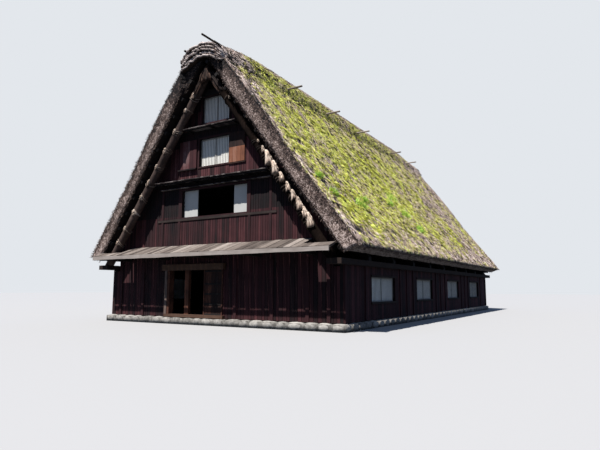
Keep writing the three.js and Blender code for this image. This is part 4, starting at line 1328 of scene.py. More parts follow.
@dataclass
class BoardWall:
    """A wall of upright boards with grooves between them, in front of a plain backing."""

    face: float  # where the outer side stands, with its sign
    outward: int
    along_y: bool = False
    thickness: float = 0.15
    board: float = 0.125
    board_depth: float = 0.03
    groove: float = 0.016

    def place(self, u: Any, inward: float, z: Any) -> Array:
        """Points from the place along the wall, the depth in from its face, and the height."""
        across = self.face - self.outward * inward
        return spots(across, u, z) if self.along_y else spots(u, across, z)

    def box(self, made: Surface, u: Any, out: Range, z: Any, tint: Any = 0.5, slots: int = 0) -> None:
        """Adds boxes from ranges along the wall, outwards from its face, and in height.

        Args:
            made: The surface to add to.
            u: The two ends along the wall.
            out: The two ends outwards.
            z: The two ends in height.
            tint: Shade of each box.
            slots: Finish number.
        """
        across = [self.face + self.outward * o for o in out]
        x, y = (across, u) if self.along_y else (u, across)
        made.boxes(x, y, z, tint, slots)

    def strips(
        self, made: Surface, edges: Array, bottom: float, top: Callable[[Array], Array],
        holes: Sequence[Opening], depth: Range, groove: float, tint: Array,
    ) -> None:
        """Adds upright strips between neighbouring edges, parted above and below the holes.

        Args:
            made: The surface to add to.
            edges: Places along the wall where strips meet, which include the holes' sides.
            bottom: Height of the foot.
            top: Height of the head at a place along the wall.
            holes: Openings that the strips stop at.
            depth: How far in from the face the strips' outer and inner sides stand.
            groove: Width of the gap between two strips.
            tint: Shade of each strip.
        """
        sides = np.stack([edges[:-1] + groove / 2, edges[1:] - groove / 2])
        middle = sides.mean(axis=0)
        back = self.place(0, depth[1], 0) - self.place(0, depth[0], 0)
        runs = [(np.ones(len(middle), bool), np.full_like(sides, bottom), top(sides))]
        for hole in holes:
            inside = (middle > hole.left) & (middle < hole.right)
            parted = []
            for mask, foot, head in runs:
                hit = mask & inside & (head[0] > hole.bottom) & (foot[0] < hole.top)
                parted.append((mask & ~hit, foot, head))
                parted.append((hit, foot, np.minimum(head, hole.bottom)))
                parted.append((hit, np.maximum(foot, hole.top), head))
            runs = parted
        for mask, foot, head in runs:
            tall = mask & (head.max(axis=0) - foot.max(axis=0) > 0.02) & (sides[1] > sides[0])
            if tall.any():
                u, low = sides[:, tall], foot[:, tall]
                high = np.maximum(head[:, tall], low + 0.005)
                rim = ((u[0], low[0]), (u[1], low[1]), (u[1], high[1]), (u[0], high[0]))
                made.prisms(np.stack([self.place(a, depth[0], z) for a, z in rim], axis=1), back, tint[tall])

    def edges(self, left: float, right: float, fixed: Array, random: Random) -> Array:
        """Uneven board edges from left to right that include the fixed places between them.

        Args:
            left: The first edge.
            right: The last edge.
            fixed: Edges that have to be among them.
            random: The source of random numbers.

        Returns:
            The edges in order.
        """
        count = max(2, round((right - left) / self.board) + 1)
        even = np.linspace(left, right, count)
        even[1:-1] += random.uniform(-0.18, 0.18, count - 2) * self.board
        fixed = fixed[(fixed > left) & (fixed < right)]
        kept = [e for e in even[1:-1] if not len(fixed) or np.abs(fixed - e).min() > 0.4 * self.board]
        return np.unique(np.concatenate([[left, right], kept, fixed]))

    def build(
        self, made: Surface, ends: Range, bottom: float, top: Callable[[Array], Array], random: Random,
        tone: Range, holes: Sequence[Opening] = (), kinks: Sequence[float] = (), painted_shade_from: float = 99.0,
    ) -> None:
        """Adds the boards and the backing.

        Args:
            made: The surface to add to.
            ends: Where the wall starts and ends.
            bottom: Height of its foot.
            top: Height of its head at a place along it.
            random: The source of random numbers.
            tone: Lowest and highest tint of the boards.
            holes: Its openings.
            kinks: Places where the line of its head bends.
            painted_shade_from: Height over which the boards are painted dark, as the shade of the ledge or
                hood above.
        """
        fixed = np.array([e for h in holes for e in (h.left, h.right)] + list(kinks))
        edges = self.edges(*ends, fixed, random)
        tint = random.uniform(*tone, len(edges) - 1)
        boards, backing = (0.0, self.board_depth), (self.board_depth, self.thickness)
        unshaded_head = lambda u: np.minimum(top(u), painted_shade_from)
        self.strips(made, edges, bottom, unshaded_head, holes, boards, self.groove, tint)
        # Boards over that height are painted dark: the shade of the ledge or hood above.
        self.strips(made, edges, painted_shade_from, top, holes, boards, self.groove, 0.12 * tint)
        plain = np.unique([e for e in (*ends, *fixed) if ends[0] <= e <= ends[1]])
        self.strips(made, plain, bottom, top, holes, backing, 0.0, np.full(len(plain) - 1, 0.05))


@dataclass
class PaperScreen:
    """Sliding screens in a wall hole: paper on a frame with thin upright bars in front."""

    wall: BoardWall
    hole: Opening
    bar_pitch: float = 0.085
    bar_width: float = 0.018
    bar_depth: float = 0.02
    frame_width: float = 0.05
    lap: float = 0.04  # how far the paper reaches behind the wall round the hole
    leaves: int = 2
    part: Range | None = None  # the part of the hole that has a screen
    bars: bool = True

    def add(self, made: Surface) -> None:
        """Adds the paper in the first finish, and its bars and frame in the second.

        Args:
            made: The surface to add to.
        """
        inner, hole, wide = self.wall.thickness, self.hole, self.frame_width / 2
        left, right = self.part or (hole.left, hole.right)
        aside = 0.0 if self.part else self.lap
        over = (hole.bottom - self.lap, hole.top + self.lap)
        self.wall.box(made, (left - aside, right + aside), (-(inner + HAIR), -(inner + 0.03)), over)
        if not self.bars:
            return
        high = (hole.bottom, hole.top)
        count = int((right - left) / self.bar_pitch)
        bars = left + (np.arange(count) + 0.5) * (right - left) / count
        half = self.bar_width / 2
        thin = (-(inner - self.bar_depth), -(inner + HAIR))
        self.wall.box(made, (bars - half, bars + half), thin, high, 0.5, 1)
        thick = (-(inner - self.bar_depth - 0.012), -(inner + HAIR))
        edges = np.linspace(left, right, self.leaves + 1)
        self.wall.box(made, (edges[:-1], edges[:-1] + wide), thick, high, 0.4, 1)
        self.wall.box(made, (edges[1:] - wide, edges[1:]), thick, high, 0.4, 1)
        low = np.array([hole.bottom, hole.top - self.frame_width])
        self.wall.box(made, (left, right), thick, (low, low + self.frame_width), 0.4, 1)


@dataclass(frozen=True)
class Storey:
    """One storey of a gable: its window, its height and the shade of its boards."""

    name: str
    hole: Opening
    bottom: float
    top: float
    tone: Range
    painted_shade_from: float  # height over which the boards are painted dark as the shade of the ledge or hood above


@dataclass
class Gable:
    """The board walls, windows, ledges and shutters of one gable over the ground storey."""

    end: End
    # The lower storey's darker tint range is partly painted shade of the ledge and verge above.
    storeys: tuple[Storey, ...] = (
        Storey("lower", Opening(-1.82, 1.82, 4.65, 5.86), 3.2003, 6.1397, (0.1, 0.6), 4.72),
        Storey("middle", Opening(-0.87, 0.81, 6.85, 8.10), 6.2603, 8.4397, (0.2, 0.85), 7.85),
        Storey("upper", Opening(-0.76, 0.78, 8.80, 10.00), 8.5403, 10.2, (0.1, 0.6), 9.4),
    )
    edge_depth: float = 0.165
    rim: float = 0.07  # width of a window's frame
    plank: float = 0.16
    seam: float = 0.0005  # half the gap between two planks
    ledges: tuple[tuple[str, float, float], ...] = (("lower", 6.14, 6.26), ("upper", 8.44, 8.54))
    frayed_ledge: tuple[float, float, float] = (0.1, 0.497, 0.462)  # planks left of the first reach further
    log_top: float = 11.0
    log_run: Range = (6.033, 8.4)  # how far a log leans out over its drop
    log_radius: float = 0.2165

    @property
    def wall(self) -> BoardWall:
        """The wall that all three storeys share."""
        return BoardWall(face=12.2 * self.end.value, outward=self.end.value)

    def make(self, made: Surface, kind: str, part: str, finishes: Sequence[Finish], slot: str) -> None:
        """Makes a piece that is named for the CAD node that it stands for."""
        node = f"{self.end.label}_{part}"
        made.piece(f"{node}_{kind}", finishes, slot, [node])

    def between_logs(self, z: float) -> float:
        """Half the width between the end rafters at a height.

        Args:
            z: The height.

        Returns:
            The half width.
        """
        run, drop = self.log_run
        axis = -0.04 + (self.log_top - z) * run / drop
        return axis - self.log_radius / math.sin(math.atan2(drop, run)) - 0.012

    def walls(self, random: Random) -> None:
        """Makes the three storeys of boards, with window frames and the collar beam.

        Args:
            random: The source of random numbers.
        """
        box, rim = self.wall.box, self.rim
        for storey in self.storeys:
            made, hole = Surface(), storey.hole
            wide, bend = (ROOF.half_width(z, self.edge_depth) for z in (storey.bottom, storey.top))
            head = lambda x: np.minimum(storey.top, ROOF.ceiling(x, self.edge_depth))
            ends, kinks, shade_start = (-wide, wide), (-bend, bend), storey.painted_shade_from
            self.wall.build(made, ends, storey.bottom, head, random, storey.tone, [hole], kinks, shade_start)
            beside = ([hole.left - rim, hole.right], [hole.left, hole.right + rim])
            above = ([hole.bottom - rim, hole.top], [hole.bottom, hole.top + rim])
            box(made, beside, (0.0, 0.025), (hole.bottom - rim, hole.top + rim), 0.3)
            box(made, (hole.left, hole.right), (0.0, 0.03), above, 0.3)
            if storey.name == "upper":
                box(made, (-0.78, 0.78), (-0.15, 0.12), (10.02, 10.28), 0.2, 1)
                box(made, ([-0.55, 0.47], [-0.47, 0.55]), (-0.15, -0.03), (10.28, 10.75), 0.15)
            if storey.name == "lower":
                posts = np.array([-3.0, -1.95, 1.95, 3.0])
                box(made, (posts - 0.06, posts + 0.06), (0.0, 0.03), (storey.bottom, 6.1), 0.25)
                box(made, (-3.3, 3.3), (0.0, 0.035), (4.50, 4.60), 0.6, 1)
            self.make(made, "boards", f"gable_{storey.name}", [DARK_CEDAR, DARK_BEAM], "dark_boards")

    def screens(self) -> None:
        """Makes the paper screens of the windows; the front's lower window stands open in the middle."""
        lower, *others = self.storeys
        rows = [(s.name, PaperScreen(self.wall, s.hole)) for s in others]
        if self.end is End.BACK:
            rows.append(("lower", PaperScreen(self.wall, lower.hole, leaves=4)))
        for name, screen in rows:
            made = Surface()
            screen.add(made)
            self.make(made, "leaves", f"screen_{name}", [PAPER, WINDOW_BAR], "paper_screens")
        if self.end is End.FRONT:
            for name, part in (("left", (-1.86, -1.02)), ("right", (1.02, 1.86))):
                made = Surface()
                PaperScreen(self.wall, lower.hole, part=part, bars=False).add(made)
                self.make(made, "leaf", f"screen_lower_{name}", [SHADED_PAPER], "paper_screens")

    def ledge_pieces(self, random: Random) -> None:
        """Makes the ledges: soot-brown planks with uneven ends on dark brackets, with a board under them.

        Args:
            random: The source of random numbers.
        """
        box, seam = self.wall.box, self.seam
        for name, bottom, top in self.ledges:
            made = Surface()
            wide, narrow = ROOF.half_width(top, self.edge_depth), self.between_logs(top)
            box(made, (-wide, wide), (-0.15, 0.0), (bottom, top), 0.1, 1)
            count = int(2 * narrow / self.plank)
            edges = np.linspace(-narrow, narrow, count + 1)
            middle, far, near = self.frayed_ledge
            reach = np.where(edges[:-1] < middle, far, near) - random.uniform(0, 0.01, count)
            lift = random.uniform(-0.016, 0.0, count)
            for x0, x1, out, rise in zip(edges[:-1], edges[1:], reach, lift):
                bleached = random.uniform() >= 0.85
                tone = random.uniform(0.8, 1.0) if bleached else random.uniform(0.45, 0.8)
                box(made, (x0 + seam, x1 - seam), (0.0, out), (top - 0.03 + rise, top + rise), tone)
            brackets = np.linspace(-narrow + 0.15, narrow - 0.15, max(3, round(2 * narrow / 0.9)))
            box(made, (brackets - 0.035, brackets + 0.035), (0.0, 0.40), (bottom, top - 0.051), 0.2, 1)
            box(made, (-narrow + 0.02, narrow - 0.02), (0.36, 0.39), (bottom + 0.01, top - 0.051), 0.1, 1)
            self.make(made, "planks", f"ledge_{name}", [LEDGE_BOARD, DARK_BEAM], "weathered_boards")
        made = Surface()
        edges = np.linspace(-3.05, 3.05, 40)
        for x0, x1 in zip(edges[:-1], edges[1:]):
            out = 0.15 + random.uniform(-0.004, 0.004)
            box(made, (x0 + seam, x1 - seam), (0.0, out), (5.96, 5.985), random.uniform(0.4, 1.0))
        made.piece(f"{self.end.label}_window_hood", [LEDGE_BOARD], "weathered_boards")

    def shutter_pieces(self, random: Random) -> None:
        """Makes the board shutters beside the middle window, with a rail under each.

        Args:
            random: The source of random numbers.
        """
        box = self.wall.box
        for name, left, right, count, tone, rail_out, boards in (
            ("left", -2.02, -1.00, 5, (0.35, 0.9), 0.13, DARK_CEDAR),
            ("right", 0.85, 1.69, 4, (0.5, 0.95), 0.05, RED_CEDAR),
        ):
            made = Surface()
            edges = np.linspace(left, right, count + 1)
            for x0, x1 in zip(edges[:-1], edges[1:]):
                # The right shutter's boards are painted near black over their upper half, as the ledge's
                # shadow; the lower half keeps each board's tint.
                bleached = random.uniform(*tone)
                whole, halves = ((6.82, 8.11, bleached),), ((6.82, 7.47, bleached), (7.47, 8.11, 0.05))
                for low, high, shade in whole if name == "left" else halves:
                    box(made, (x0 + 0.004, x1 - 0.004), (0.032, 0.057), (low, high), shade)
            box(made, (left + 0.01, right - 0.01), (HAIR, 0.032), ([6.95, 7.9], [7.03, 7.98]), 0.3)
            box(made, (left - 0.03, right + 0.03), (HAIR, rail_out), (6.76, 6.815), 0.1)
            self.make(made, "boards", f"shutter_{name}", [boards], "red_boards")

    def build(self) -> None:
        """Makes and dresses the gable."""
        random = np.random.default_rng(300 + self.end.value)
        self.walls(random)
        self.screens()
        self.ledge_pieces(random)
        if self.end is End.FRONT:
            self.shutter_pieces(random)


@dataclass
class EndRafters:
    """The two round logs of a gable end, bound to the purlins with straw rope.

    Places are worked out for the right log of the back end, with its middle line in the plane Y = 0,
    and then moved over to the side and end that they are for.
    """

    end: End
    head: Range = (-0.04, 11.0)
    foot: Range = (5.993, 2.6)
    y: float = 12.65
    radius: float = 0.19
    sides: int = 20
    plate_top: float = 2.6003
    rope_reach: float = 0.198  # middle of a rope from the log's own middle
    bundle_rows: tuple[tuple[float, ...], ...] = (  # distances down the left and right log
        (1.38, 2.10, 3.15, 4.14, 4.96, 5.8, 6.6, 7.4, 8.3, 9.1),
        (1.95, 4.55, 4.98, 5.42, 5.95, 6.50, 6.98, 7.40, 7.83, 8.26, 8.62),
    )
    bundle_sizes: tuple[tuple[float, ...], ...] = (
        (0.26, 0.19, 0.22, 0.24, 0.20, 0.26, 0.22, 0.26, 0.22, 0.20),
        (0.13, 0.12, 0.24, 0.54, 0.48, 0.40, 0.36, 0.38, 0.48, 0.42, 0.54),
    )
    bundle_straws: int = 44

    @property
    def along(self) -> Array:
        """Direction down the right log."""
        return unit(np.array([self.foot[0] - self.head[0], 0.0, self.foot[1] - self.head[1]]))

    @property
    def over(self) -> Array:
        """Direction square to the right log and to Y."""
        return np.cross(TO_BACK, self.along)

    def line(self, down: Array) -> Array:
        """Places on the right log's middle line at distances from its head."""
        return np.array([self.head[0], 0.0, self.head[1]]) + down[:, None] * self.along

    def on_axis(self, down: Array) -> Array:
        """The same places, where the log stands at the back end."""
        return self.line(down) + np.array([0.0, self.y, 0.0])

    def placed(self, points: Array, side: Side) -> Array:
        """Points worked out for the right log of the back end, moved over to a side of this end."""
        return points * np.array([side.value, self.end.value, 1.0])

    def round_log(self, middle: Array, angle: Array, reach: Array) -> Array:
        """Points about a log's middle line, at an angle round it and a distance from it."""
        flat, over = (np.cos(angle) * reach)[..., None], (np.sin(angle) * reach)[..., None]
        return middle + flat * TO_BACK + over * self.over

    def log(self, side: Side) -> Surface:
        """Builds one log: rings along the axis with noise on the radius, cut at the ridge and level.

        Args:
            side: Which log.

        Returns:
            The log.
        """
        along = self.along
        length = math.hypot(self.foot[0] - self.head[0], self.foot[1] - self.head[1])
        share = np.concatenate([[0.0], np.linspace(0.05, 0.955, 56), [1.0]])
        middle = self.line(share * length)[:, None]
        ring = ring_of(TO_BACK, self.over, self.sides)[None]
        probe = middle + ring * 0.3 + [0, 40.0 * self.end.value + 9 * side.value, 0]
        lumps = rough(probe.reshape(-1, 3) * [0.5, 1, 0.5], 0.22, 61).reshape(len(share), self.sides)
        radius = self.radius - 0.016 + 0.010 * share[:, None] + 0.016 * lumps
        points = middle + ring * radius[..., None]
        points[0] += along * ((SEAM - points[0, :, 0]) / along[0])[:, None]
        points[-1] += along * ((self.plate_top - points[-1, :, 2]) / along[2])[:, None]
        points[..., 1] += self.y * self.end.value
        points[..., 0] *= side.value
        made = Surface()
        made.rings(points[None] if side is Side.RIGHT else points[None, :, ::-1])
        return made

    def ropes(self, made: Surface, side: Side, down: Array, random: Random) -> None:
        """Adds a helix of a few loose turns of rope round a log at each place.

        Args:
            made: The surface to add to.
            side: Which log.
            down: Distances from the log's head.
            random: The source of random numbers.
        """
        count = len(down)
        turns = random.uniform(1.6, 3.0, count)
        t = np.linspace(0, 1, 52)
        angle = 2 * np.pi * turns[:, None] * t + random.uniform(0, 6, count)[:, None]
        shift = (t - 0.5) * random.uniform(0.12, 0.3, count)[:, None]
        shift = shift + 0.085 * np.sin(angle * 0.93 + random.uniform(0, 6, count)[:, None])
        middle = self.on_axis(down)[:, None] + shift[..., None] * self.along
        path = self.round_log(middle, angle, self.rope_reach + 0.012 * np.sin(angle * 0.7))
        radius = random.uniform(0.010, 0.02, count)[:, None]
        # The right log's ropes are painted darker, as the verge's shade.
        tint = random.uniform(0.0, 0.3, count) + (0.45 if side is Side.LEFT else -0.1)
        made.tubes(self.placed(path, side), radius, 6, up=self.along * [side.value, 1, 1], tint=tint)

    def bundles(self, made: Surface, side: Side, down: Array, size: Array, random: Random) -> None:
        """Adds a bundle of straw that hangs in front of a log at each place.

        Its body is a flat wedge with a frayed foot and an upright side towards the gable's middle: at a
        share t from top to bottom its width is size * (0.16 + 0.5 * t ^ 0.8). Loose straws hang over it.

        Args:
            made: The surface to add to.
            side: Which log.
            down: Distances from the log's head.
            size: Height of each bundle.
            random: The source of random numbers.
        """
        count, sides = len(down), 14
        spot = self.on_axis(down) + np.array([0.22 if side is Side.RIGHT else 0.0, 0.19, 0.0])
        upright = spot[:, 0, None] - 0.32 * size[:, None]
        t = np.linspace(0, 1, 9)
        turn = 2 * np.pi * np.arange(sides) / sides
        half = size[:, None] * (0.08 + 0.25 * t**0.8) * np.where(t > 0.99, 0.85, 1.0)
        frayed = random.normal(0, 1, (count, 1, sides))
        x = (upright + half)[..., None] + half[..., None] * np.cos(turn) * (1 + 0.06 * frayed)
        y = spot[:, 1, None, None] + (0.04 + 0.1 * half[..., None]) * np.sin(turn) * (1 + 0.2 * frayed)
        z = spot[:, 2, None, None] + size[:, None, None] * (0.55 - t[:, None] * (1.05 + 0.12 * frayed))
        body = self.placed(spots(x, y, z), side)
        body = body if side.value * self.end.value > 0 else body[:, :, ::-1]
        made.rings(body, random.uniform(0.55, 0.9, count)[:, None] - 0.6 * ramp(t, 0.55, 1.0), 1)

        shape = (count, self.bundle_straws)
        every = count * self.bundle_straws
        high, shift = random.uniform(0, 1, shape), random.uniform(-1, 1, shape)
        width = (0.08 + 0.25 * high**0.8) * size[:, None]
        roots = spots(
            upright + width * (1 + shift),
            spot[:, 1, None] + random.uniform(0.02, 0.065, shape),
            spot[:, 2, None] + (0.55 - 0.75 * high) * size[:, None],
        ).reshape(-1, 3)
        way = spots(0.25 + 0.25 * shift.ravel(), random.uniform(-0.04, 0.04, every), -1)
        length = random.uniform(0.3, 0.6, every) * np.repeat(size, self.bundle_straws)
        tint = random.uniform(0.2, 1.0, every) - 0.3 * high.ravel()
        radius = random.uniform(0.006, 0.014, every)
        made.straws(self.placed(roots, side), self.placed(way, side), length, radius, tint, 1)

    def bindings(self, random: Random) -> Surface:
        """Builds the ropes round the logs and the straw bundles that hang from them.

        Args:
            random: The source of random numbers.

        Returns:
            Ropes in the first finish, and straw in the second.
        """
        made = Surface()
        for side, rows, sizes in zip(Side, self.bundle_rows, self.bundle_sizes):
            down = np.array(rows)
            self.ropes(made, side, down + random.uniform(-0.03, 0.03, len(down)), random)
            self.bundles(made, side, down, np.array(sizes), random)
        return made

    def lashing(self, random: Random) -> Surface:
        """Builds the straw bound over the logs' heads: upright wavy strands, wider and cut level below.

        Args:
            random: The source of random numbers.

        Returns:
            The strands over the joint and those along each log.
        """
        made = Surface()
        t = np.linspace(0, 1, 9)
        top, cut = 11.22, 10.37  # heights of the binding's head and foot
        neck, skirt = 0.15, 0.34  # half its width there
        half = neck + (skirt - neck) * t**1.4
        lean = 0.17 * (1 - ramp(t, 0.0, 0.35))
        for layer, count in enumerate((30, 26)):
            spread = np.linspace(-1, 1, count) + random.uniform(-0.04, 0.04, count)
            x = spread[:, None] * half + 0.010 * np.sin(8 * t + random.uniform(0, 6, count)[:, None])
            bottom = cut + random.uniform(0, 0.16, count)
            z = top - 0.5 * spread[:, None] ** 2 * (1 - t) ** 2 + (bottom[:, None] - top) * t
            wave = 0.012 * np.sin(5 * t + spread[:, None] * 9)
            y = self.end.value * (self.y + 0.2003 + 0.028 + 0.045 * layer + wave - lean)
            radius = random.uniform(0.010, 0.024, count)[:, None]
            made.tubes(spots(x, y, z), radius, 6, up=TO_BACK, tint=random.uniform(0.0, 0.9, count))
        for side in Side:
            count = 22
            turn = random.uniform(-0.95, 0.95, count)[:, None]
            start, stop = random.uniform(0.32, 0.5, count), random.uniform(1.0, 1.6, count)
            down = start[:, None] + (stop - start)[:, None] * t
            middle = self.on_axis(down.ravel()).reshape(count, len(t), 3)
            path = self.round_log(middle, turn, 0.2 + 0.01 * np.sin(9 * t + turn * 20))
            radius = random.uniform(0.010, 0.02, count)[:, None]
            made.tubes(self.placed(path, side), radius, 5, up=TO_BACK, tint=random.uniform(0.0, 0.8, count))
        return made

    def build(self) -> None:
        """Makes and dresses the logs, their bindings and the lashing."""
        random = np.random.default_rng(500 + self.end.value)
        name = self.end.label
        # The right log takes the finish that is painted near black as the verge's shade.
        for side, wood in zip(Side, (LOG_WOOD, SHADED_LOG)):
            node = f"{name}_rafter_{side.label}"
            self.log(side).piece(f"{node}_log", [wood], "rafter_logs", [node], smooth=True)
        bound, heads = self.bindings(random), self.lashing(random)
        bound.piece(f"{name}_rafter_bindings", [GREY_ROPE, TAN_STRAW], "straw_lashing", smooth=True)
        node = f"{name}_apex_lashing"
        heads.piece(f"{name}_apex_straw", [BOUND_STRAW], "straw_lashing", [node], smooth=True)


@dataclass
class GroundStorey:
    """The ground storey's end walls, its entrance with the sliding leaf, and the long walls."""

    bottom: float = 0.3003
    top: float = 3.2
    half_width: float = 6.0497
    plate_x: float = 5.79
    plate_bottom: float = 2.34  # the end walls step down beside the plates
    side_windows: tuple[float, ...] = (-8.4, -2.8, 2.8, 8.4)
    side_posts: tuple[float, ...] = (
        -12.1, -10.3, -6.5, -5.6, -4.7, -0.9, 0.0, 0.9, 4.7, 5.6, 6.5, 10.3, 12.1,
    )
    timbers: tuple[tuple[Range, Range, Range, float, int], ...] = (  # ranges, tint and finish
        ((-2.58, -0.25), (-12.36, -12.05), (0.3003, 0.42), 0.45, 1),
        ((-0.25, 0.76), (-12.36, -12.2003), (0.3003, 0.42), 0.45, 1),
        ((-2.58, -2.44), (-12.36, -12.05), (0.42, 2.31), 0.75, 2),
        ((-2.43, -2.31), (-12.34, -12.05), (0.42, 2.31), 0.35, 0),
        ((-1.51, -1.29), (-12.2, -12.05), (0.42, 2.31), 0.4, 0),
        ((-0.38, -0.25), (-12.2, -12.05), (0.42, 2.31), 0.2, 0),
        ((-2.8, 0.76), (-12.36, -12.2003), (2.31, 2.57), 0.5, 1),
    )
    leaf_x: Range = (-0.38, 0.65)
    leaf_y: Range = (-12.25, -12.205)
    leaf_z: Range = (0.4203, 2.305)
    stile: float = 0.06
    stone: float = 0.62  # length of a footing stone
    stone_half: Range = (0.31, 0.149)  # half its depth and height
    core: Range = (0.0, 0.26)

    def end_wall(self, end: End, ends: Range, node: str, random: Random, posts: Sequence[float]) -> None:
        """Makes a run of end wall: boards, with posts in front of them.

        Args:
            end: Which gable.
            ends: Where the run starts and ends.
            node: The CAD node that it stands for.
            random: The source of random numbers.
            posts: Middles of the posts.
        """
        wall = BoardWall(face=12.2 * end.value, outward=end.value, board=0.17)
        made = Surface()
        bounds = [ends[0], *(e for e in (-self.plate_x, self.plate_x) if ends[0] < e < ends[1]), ends[1]]
        for start, stop in zip(bounds[:-1], bounds[1:]):
            top = self.plate_bottom if abs(start + stop) / 2 > self.plate_x - 0.001 else self.top
            wall.build(made, (start, stop), self.bottom, lambda x: np.full_like(x, top), random, (0.1, 0.6))
        x = np.array(posts)
        made.boxes((x - 0.07, x + 0.07), (12.2 * end.value, 12.245 * end.value), (self.bottom, 2.7), 0.35)
        made.piece(f"{node}_boards", [DARK_CEDAR, DARK_BEAM], "dark_boards", [node])

    def entrance(self, random: Random) -> None:
        """Makes the door header and the entrance's timbers.

        Args:
            random: The source of random numbers.
        """
        made = Surface()
        wall = BoardWall(face=-12.2, outward=-1)
        wall.build(made, (-2.58, -0.25), 2.3103, lambda x: np.full_like(x, self.top), random, (0.1, 0.5))
        made.piece("front_door_header_boards", [DARK_CEDAR], "dark_boards", ["front_door_header"])
        made = Surface()
        for x, y, z, tint, finish in self.timbers:
            made.boxes(x, y, z, tint, finish)
        made.piece("entrance_frame_timbers", [RED_CEDAR, RED_BEAM, LOG_WOOD], "red_boards", ["entrance_frame"])

    def leaf(self, random: Random) -> None:
        """Makes the sliding leaf: two stiles, five rails and boards between them.

        Args:
            random: The source of random numbers.
        """
        made = Surface()
        (x0, x1), (y0, y1), (z0, z1) = self.leaf_x, self.leaf_y, self.leaf_z
        left, right = x0 + self.stile, x1 - self.stile
        made.boxes(([x0, right], [left, x1]), (y0, y1), (z0, z1), 0.25)
        rails = np.array([z0, z0 + 0.42, z0 + 0.84, z0 + 1.26, z1 - 0.09])
        made.boxes((left, right), (y0, y1), (rails, rails + 0.07), 0.4, 1)
        edges = np.linspace(left, right, 6)
        across = (edges[:-1] + 0.003, edges[1:] - 0.003)
        made.boxes(across, (y0 + 0.02, y1 - 0.004), (z0 + 0.02, z1 - 0.02), random.uniform(0.0, 0.35, 5))
        made.piece("entrance_leaf_boards", [RED_CEDAR, DARK_BEAM], "red_boards", ["entrance_door"], body=LEAF)

    def long_wall(self, side: Side, random: Random) -> None:
        """Makes a long wall under the eaves: boards, posts, the plate on top and the screens.

        Args:
            side: Which wall.
            random: The source of random numbers.
        """
        name, out = side.label, side.value
        wall = BoardWall(face=6.2 * out, outward=out, along_y=True, board=0.22)
        holes = [Opening(y - 1.3, y + 1.3, 1.0, 2.0) for y in self.side_windows]
        made = Surface()
        ends, head = (-12.2, 12.2), lambda y: np.full_like(y, 2.4)
        wall.build(made, ends, self.bottom, head, random, (0.1, 0.65), holes)
        made.boxes((5.85 * out, 6.45 * out), (-12.88, 12.88), (2.4, 2.6), 0.4, 1)
        posts, proud = np.array(self.side_posts), (6.2 * out, 6.245 * out)
        made.boxes(proud, (posts - 0.08, posts + 0.08), (self.bottom, 2.4), 0.35)
        for hole in holes:
            z = np.array([hole.bottom - 0.08, hole.top])
            made.boxes(proud, (hole.left - 0.08, hole.right + 0.08), (z, z + 0.08), 0.45, 1)
        made.piece(f"{name}_wall_boards", [DARK_CEDAR, SMOKED_ALONG], "dark_boards", [f"{name}_wall"])
        made = Surface()
        for hole in holes:
            PaperScreen(wall, hole, bar_pitch=0.13).add(made)
        screens = [f"{name}_wall_screens"]
        made.piece(f"{name}_wall_screen_leaves", [PAPER, WINDOW_BAR], "paper_screens", screens)

    def footing(self, random: Random) -> None:
        """Makes the footing: rounded stones side by side in a ring, over a plain core.

        A stone is a small box grid whose points are drawn towards an ellipsoid and moved by noise.

        Args:
            random: The source of random numbers.
        """
        made = Surface()
        places, faces, _ = box_lattice(5, 4, 4)
        cube = places / np.array([4, 3, 3]) * 2 - 1
        cube = cube / np.maximum(np.linalg.norm(cube, axis=1, keepdims=True), 1) ** 0.62
        cube = cube / np.abs(cube).max(axis=0)
        centres, halves = [], []
        deep, high = self.stone_half
        long_runs = ((True, -6.06, 12.45), (True, 6.06, 12.45))
        short_runs = ((False, -12.14, 5.75), (False, 12.14, 5.75))
        for along_y, aside, half in long_runs + short_runs:
            count = round(2 * half / self.stone)
            edges = np.linspace(-half, half, count + 1)
            edges[1:-1] += random.uniform(-0.09, 0.09, count - 1)
            middle, long = (edges[:-1] + edges[1:]) / 2, np.diff(edges) / 2 - 0.006
            centres.append(spots(aside, middle, high) if along_y else spots(middle, aside, high))
            halves.append(spots(deep, long, high) if along_y else spots(long, deep, high))
        points = np.concatenate(centres)[:, None] + cube[None] * np.concatenate(halves)[:, None]
        lumps = rough(points.reshape(-1, 3), 0.25, 71).reshape(*points.shape[:2], 1)
        points = points - 0.02 * lumps * cube[None]
        points[..., 2] = np.clip(points[..., 2], 0.0, 0.3)
        made.copies(faces, points, random.uniform(0, 1, len(points)))
        for x, y in (
            ((-6.33, -5.79), (-12.41, 12.41)), ((5.79, 6.33), (-12.41, 12.41)),
            ((-5.79, 5.79), (-12.41, -11.87)), ((-5.79, 5.79), (11.87, 12.41)),
        ):
            made.boxes(x, y, self.core, 0.05)
        made.piece("footing_stones", [STONE], "footing_stone", ["stone_footing"], smooth=True)

    def build(self) -> None:
        """Makes and dresses the ground storey."""
        random = np.random.default_rng(900)
        wide = self.half_width
        self.end_wall(End.FRONT, (-wide, -2.5803), "front_wall_left", random, (-5.6, -4.1))
        self.end_wall(End.FRONT, (-0.2497, wide), "front_wall_right", random, (1.3, 3.1, 4.7, 5.6))
        self.entrance(random)
        self.leaf(random)
        self.end_wall(End.BACK, (-wide, wide), "back_wall", random, (-5.6, -3.8, -1.9, 0.0, 1.9, 3.8, 5.6))
        for side in Side:
            self.long_wall(side, random)
        self.footing(random)


